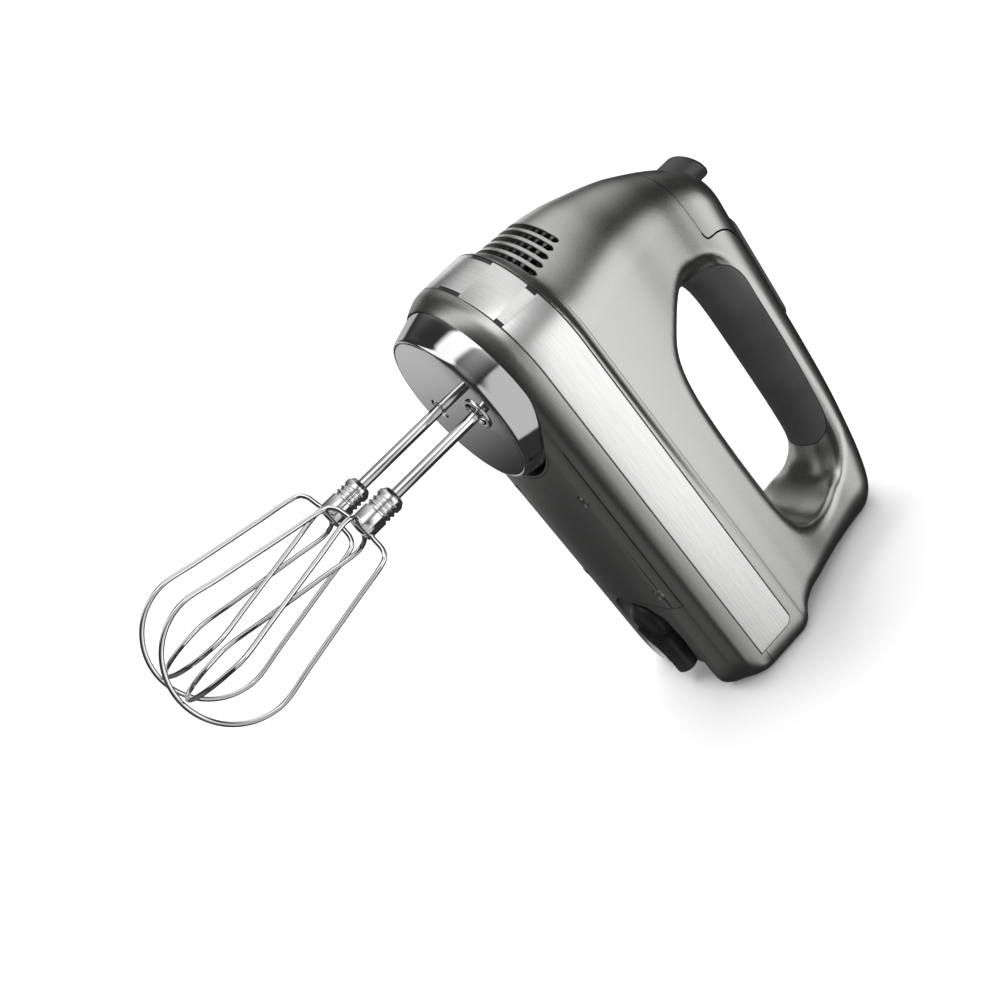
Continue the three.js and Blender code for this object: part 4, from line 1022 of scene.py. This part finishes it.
# ------------------------------------------------------------------ cord swivel
base = turned("b", [(0, 2.6)] + [tuple(p) for p in catmull([(3.2, 2.66), (6.5, 3.0), (9.0, 4.3), (10.3, 6.4),
                                                              (10.6, 9.0)], 5)] + [(10.6, 13.2), (0, 13.2)],
              "z", SWIVEL["x"], 0, 72)
neck = turned("n", [(0, SWIVEL["x"] - 2), (8.2, SWIVEL["x"] - 2), (7.4, -137), (6.3, -143), (5.5, -150), (5.1, -156),
                    (5.1, -160.6), (4.7, -161), (0, -161)], "x", 0, SWIVEL["z"], 56)
swivel = join(base, neck)
cut(swivel, box("top", -166, -100, -20, 20, 14.6, 40))
join(swivel, rod("s", "z", 4.0, 13, 22.4, SWIVEL["x"], 0, 32))
cut(swivel, rod("bore", "x", SWIVEL["bore"], -162, SWIVEL["x"] - 4, 0, SWIVEL["z"], 48))
cut(swivel, rod("hole", "z", 1.2, -5, SWIVEL["z"], SWIVEL["x"] - 20, 0, 24))
cut(swivel, rod("down", "z", 2.2, SWIVEL["z"], 30, SWIVEL["x"] - 0.5, 0, 24))
dish = turned("d", [(0, 0.0), (5.2, 0.0), (5.2, 2.9), (4.6, 3.3), (0, 3.5)], "z", SWIVEL["x"], 0, 64)
cut(swivel, dish)
meet(swivel, box("m", -166, -100, -20, 20, 1.5, 30))
piece(swivel, "fine_cord_swivel", MATS["black"], "swivel", ["cord_swivel"], 38)

# ------------------------------------------------------------------ beaters
B = dict(shoulderR=16.2, shoulderZ=-69.6, maxR=26.5, maxZ=-130.2, endZ=-156.1)
RIBS = {"left": (140.9, 169.2), "right": (147.1, 172.5)}
for sd, y in (("left", SHAFT_Y), ("right", -SHAFT_Y)):
    bodyname = sd + "_beater"
    sh = turned("s", fillet([(0, -63), (SHAFT_R, -63), (SHAFT_R, 48.6), (1.4, 50),
                             (0, 50)], [0, 0.4, 0.5, 0.4, 0], 3, False),
                "z", 0, y, 40)
    piece(sh, f"fine_{sd}_beater_shaft", MATS["chrome"], bodyname, [f"{sd}_beater_shaft"], 40)
    hub = [(SHAFT_R + 0.15, -65.4), (5.7, -65.4), (5.7, -56.6), (5.0, -56.0), (5.0, -55.2), (5.7, -54.8), (5.7, -54.2),
           (5.0, -53.8), (5.0, -53.0), (5.7, -52.6), (5.7, -52.0), (5.0, -51.6), (5.0, -50.8), (5.7, -50.4),
           (5.7, -48.2), (4.4, -46.2), (SHAFT_R + 0.15, -46)]
    hb = turned("h", fillet(hub, [0, 0.8, 0.3, 0.3, 0.3, 0.3, 0.3, 0.3, 0.3, 0.3, 0.3, 0.3, 0.3, 0.3, 0.8, 0.6, 0], 3),
                "z", 0, y, 64)
    piece(hb, f"fine_{sd}_beater_hub", MATS["chrome"], bodyname, [f"{sd}_beater_hub"], 35)
    for k, tag in enumerate("ab"):
        fall = 0.0 if k == 0 else 2.45
        a_s, a_w = (math.radians(v + 90 * k) for v in RIBS[sd])
        at = lambda r, a, z: np.array((r * math.cos(a), y + r * math.sin(a), z))
        P, Q = at(B["shoulderR"], a_s, B["shoulderZ"]), at(B["maxR"], a_w, B["maxZ"])
        half = [at(5.2, a_s, -63.9), at(6.6, a_s, -64.25), at(9, a_s, -64.5), at(12.2, a_s, -65.0), at(14.9, a_s, -66.7), P]
        half += [P + (Q - P) * i / 4 for i in (1, 2, 3)]
        rz = abs(B["endZ"] - B["maxZ"]) - fall
        for i in range(5):
            t = math.radians(90 * i / 5)
            half.append(at(B["maxR"] * math.cos(t), a_w, B["maxZ"] - rz * math.sin(t)))
        mirror = [np.array((-p[0], 2 * y - p[1], p[2])) for p in half][::-1]
        path = catmull(half + [np.array((0, y, B["maxZ"] - rz))] + mirror, 7)
        w = tube("w", path, WIRE_R, 16)
        piece(w, f"fine_{sd}_beater_wire_{tag}", MATS["chrome"], bodyname, [f"{sd}_beater_wire_{tag}"], 50)

# return spring of the ejector
pts = [(5 + 4.9 * math.cos(2 * math.pi * i / 40), 4.9 * math.sin(2 * math.pi * i / 40), 102.5 + 15.5 * i / 160)
       for i in range(161)]
spring = piece(tube("sp", pts, 0.5, 10), "fine_ejector_spring", MATS["spring"], "housing",
               ["ejector_spring"], 50)
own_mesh(spring)

# ------------------------------------------------------------------ floor, light, camera
floor_m = Mat("floor", (0.93, 0.93, 0.93), 0.6)
g = floor_m.noise(3, 2)
floor_m.tint(g, (0.925, 0.925, 0.925), (0.935, 0.935, 0.935))
floor_m.roughness(floor_m.ranged(g, (0.3, 0.7), 0.58, 0.62))
# flat under the mixer, rising far away so that no horizon shows
FLOOR_RINGS = [(1.5, 0.0), (3.0, 0.0), (4.0, 0.12), (6.0, 0.62), (10.0, 2.0), (18.0, 5.2), (30.0, 10.5)]
V = [(0, 0, 0)] + [(r * math.cos(2 * math.pi * i / 96), r * math.sin(2 * math.pi * i / 96), h)
                   for r, h in FLOOR_RINGS for i in range(96)]
F = [(0, 1 + i, 1 + (i + 1) % 96) for i in range(96)]
for k in range(len(FLOOR_RINGS) - 1):
    F += [(1 + k * 96 + i, 1 + (k + 1) * 96 + i, 1 + (k + 1) * 96 + (i + 1) % 96, 1 + k * 96 + (i + 1) % 96)
          for i in range(96)]
me = bpy.data.meshes.new("floor")
me.from_pydata(V, [], F)
me.materials.append(floor_m.m)
me.shade_smooth()
floor = bpy.data.objects.new("floor", me)
bpy.context.scene.collection.objects.link(floor)
floor.location = (0, 0, -0.0002)
floor.visible_glossy = False

# studio round the mixer as soft boxes in a dim room:
# (azimuth, elevation, half width, half height, softness, radiance), degrees
BOXES = [
    (126, -10, 28, 25, 12, 1.15),
    (162, 64, 52, 18, 38, 0.85),
    (30, 73, 44, 10, 6, 1.00),
    (-104, -6, 15, 28, 7, 0.42),
    (-114, 8, 8, 11, 8, 0.50),
    (81, -20, 13, 42, 5, 0.48),
    (-76, -4, 12, 14, 12, 0.45),
    (20, -27, 14, 7, 10, 0.14),
    (-30, -10, 26, 30, 14, 0.08),
]
AMBIENT = 0.03
world = bpy.data.worlds.new("world")
bpy.context.scene.world = world
world.use_nodes = True
wt = world.node_tree
bg = wt.nodes["Background"]
wc = wt.nodes.new("ShaderNodeTexCoord").outputs["Generated"]


def wmath(op, *vals):
    n = wt.nodes.new("ShaderNodeMath")
    n.operation = op
    for s, v in zip(n.inputs, vals):
        if isinstance(v, (int, float)):
            s.default_value = v
        else:
            wt.links.new(v, s)
    return n.outputs[0]


def along(v):
    n = wt.nodes.new("ShaderNodeVectorMath")
    n.operation = "DOT_PRODUCT"
    n.inputs[1].default_value = v
    wt.links.new(wc, n.inputs[0])
    return n.outputs["Value"]


def window(angle, half, soft):
    r = wt.nodes.new("ShaderNodeMapRange")
    r.interpolation_type = "SMOOTHSTEP"
    r.inputs["From Min"].default_value = math.radians(half + soft / 2)
    r.inputs["From Max"].default_value = math.radians(half - soft / 2)
    wt.links.new(wmath("ABSOLUTE", angle), r.inputs["Value"])
    return r.outputs["Result"]


total = AMBIENT
for az, el, hw, hh, soft, power in BOXES:
    a, e = math.radians(az), math.radians(el)
    ahead = along((math.cos(e) * math.cos(a), math.cos(e) * math.sin(a), math.sin(e)))
    across = along((-math.sin(a), math.cos(a), 0))
    above = along((-math.sin(e) * math.cos(a), -math.sin(e) * math.sin(a), math.cos(e)))
    lit = wmath("MULTIPLY", window(wmath("ARCTAN2", across, ahead), hw, soft), window(wmath("ARCSINE", above), hh, soft))
    total = wmath("ADD", wmath("MULTIPLY", lit, power), total)
wt.links.new(total, bg.inputs["Strength"])
bg.inputs["Color"].default_value = (1, 1, 1, 1)


def sun(name, az, el, angle, power, glossy=False):
    l = bpy.data.lights.new(name, "SUN")
    l.energy, l.angle = power, math.radians(angle)
    o = bpy.data.objects.new(name, l)
    bpy.context.scene.collection.objects.link(o)
    az, el = math.radians(az), math.radians(el)
    d = Vector((math.cos(el) * math.cos(az), math.cos(el) * math.sin(az), math.sin(el)))
    o.rotation_euler = d.to_track_quat("Z", "Y").to_euler()
    o.visible_glossy = glossy
    return o


sun("overhead", -100, 68, 50, 2.6)
sun("front", 70, 40, 40, 1.2)

cam = bpy.data.cameras.new("camera")
cam.sensor_width, cam.lens = 36.0, 48.741
cam.clip_start, cam.clip_end = 0.01, 100
co = bpy.data.objects.new("camera", cam)
bpy.context.scene.collection.objects.link(co)
right, up, back = (-0.681700, 0.426076, -0.594764), (-0.691140, -0.108335, 0.714555), (0.240021, 0.898177, 0.368331)
co.matrix_world = Matrix([[right[i], up[i], back[i], (0.181822, 0.501319, 0.333379)[i]] for i in range(3)] + [[0, 0, 0, 1]])
bpy.context.scene.camera = co
bpy.context.scene.view_settings.view_transform = "Standard"
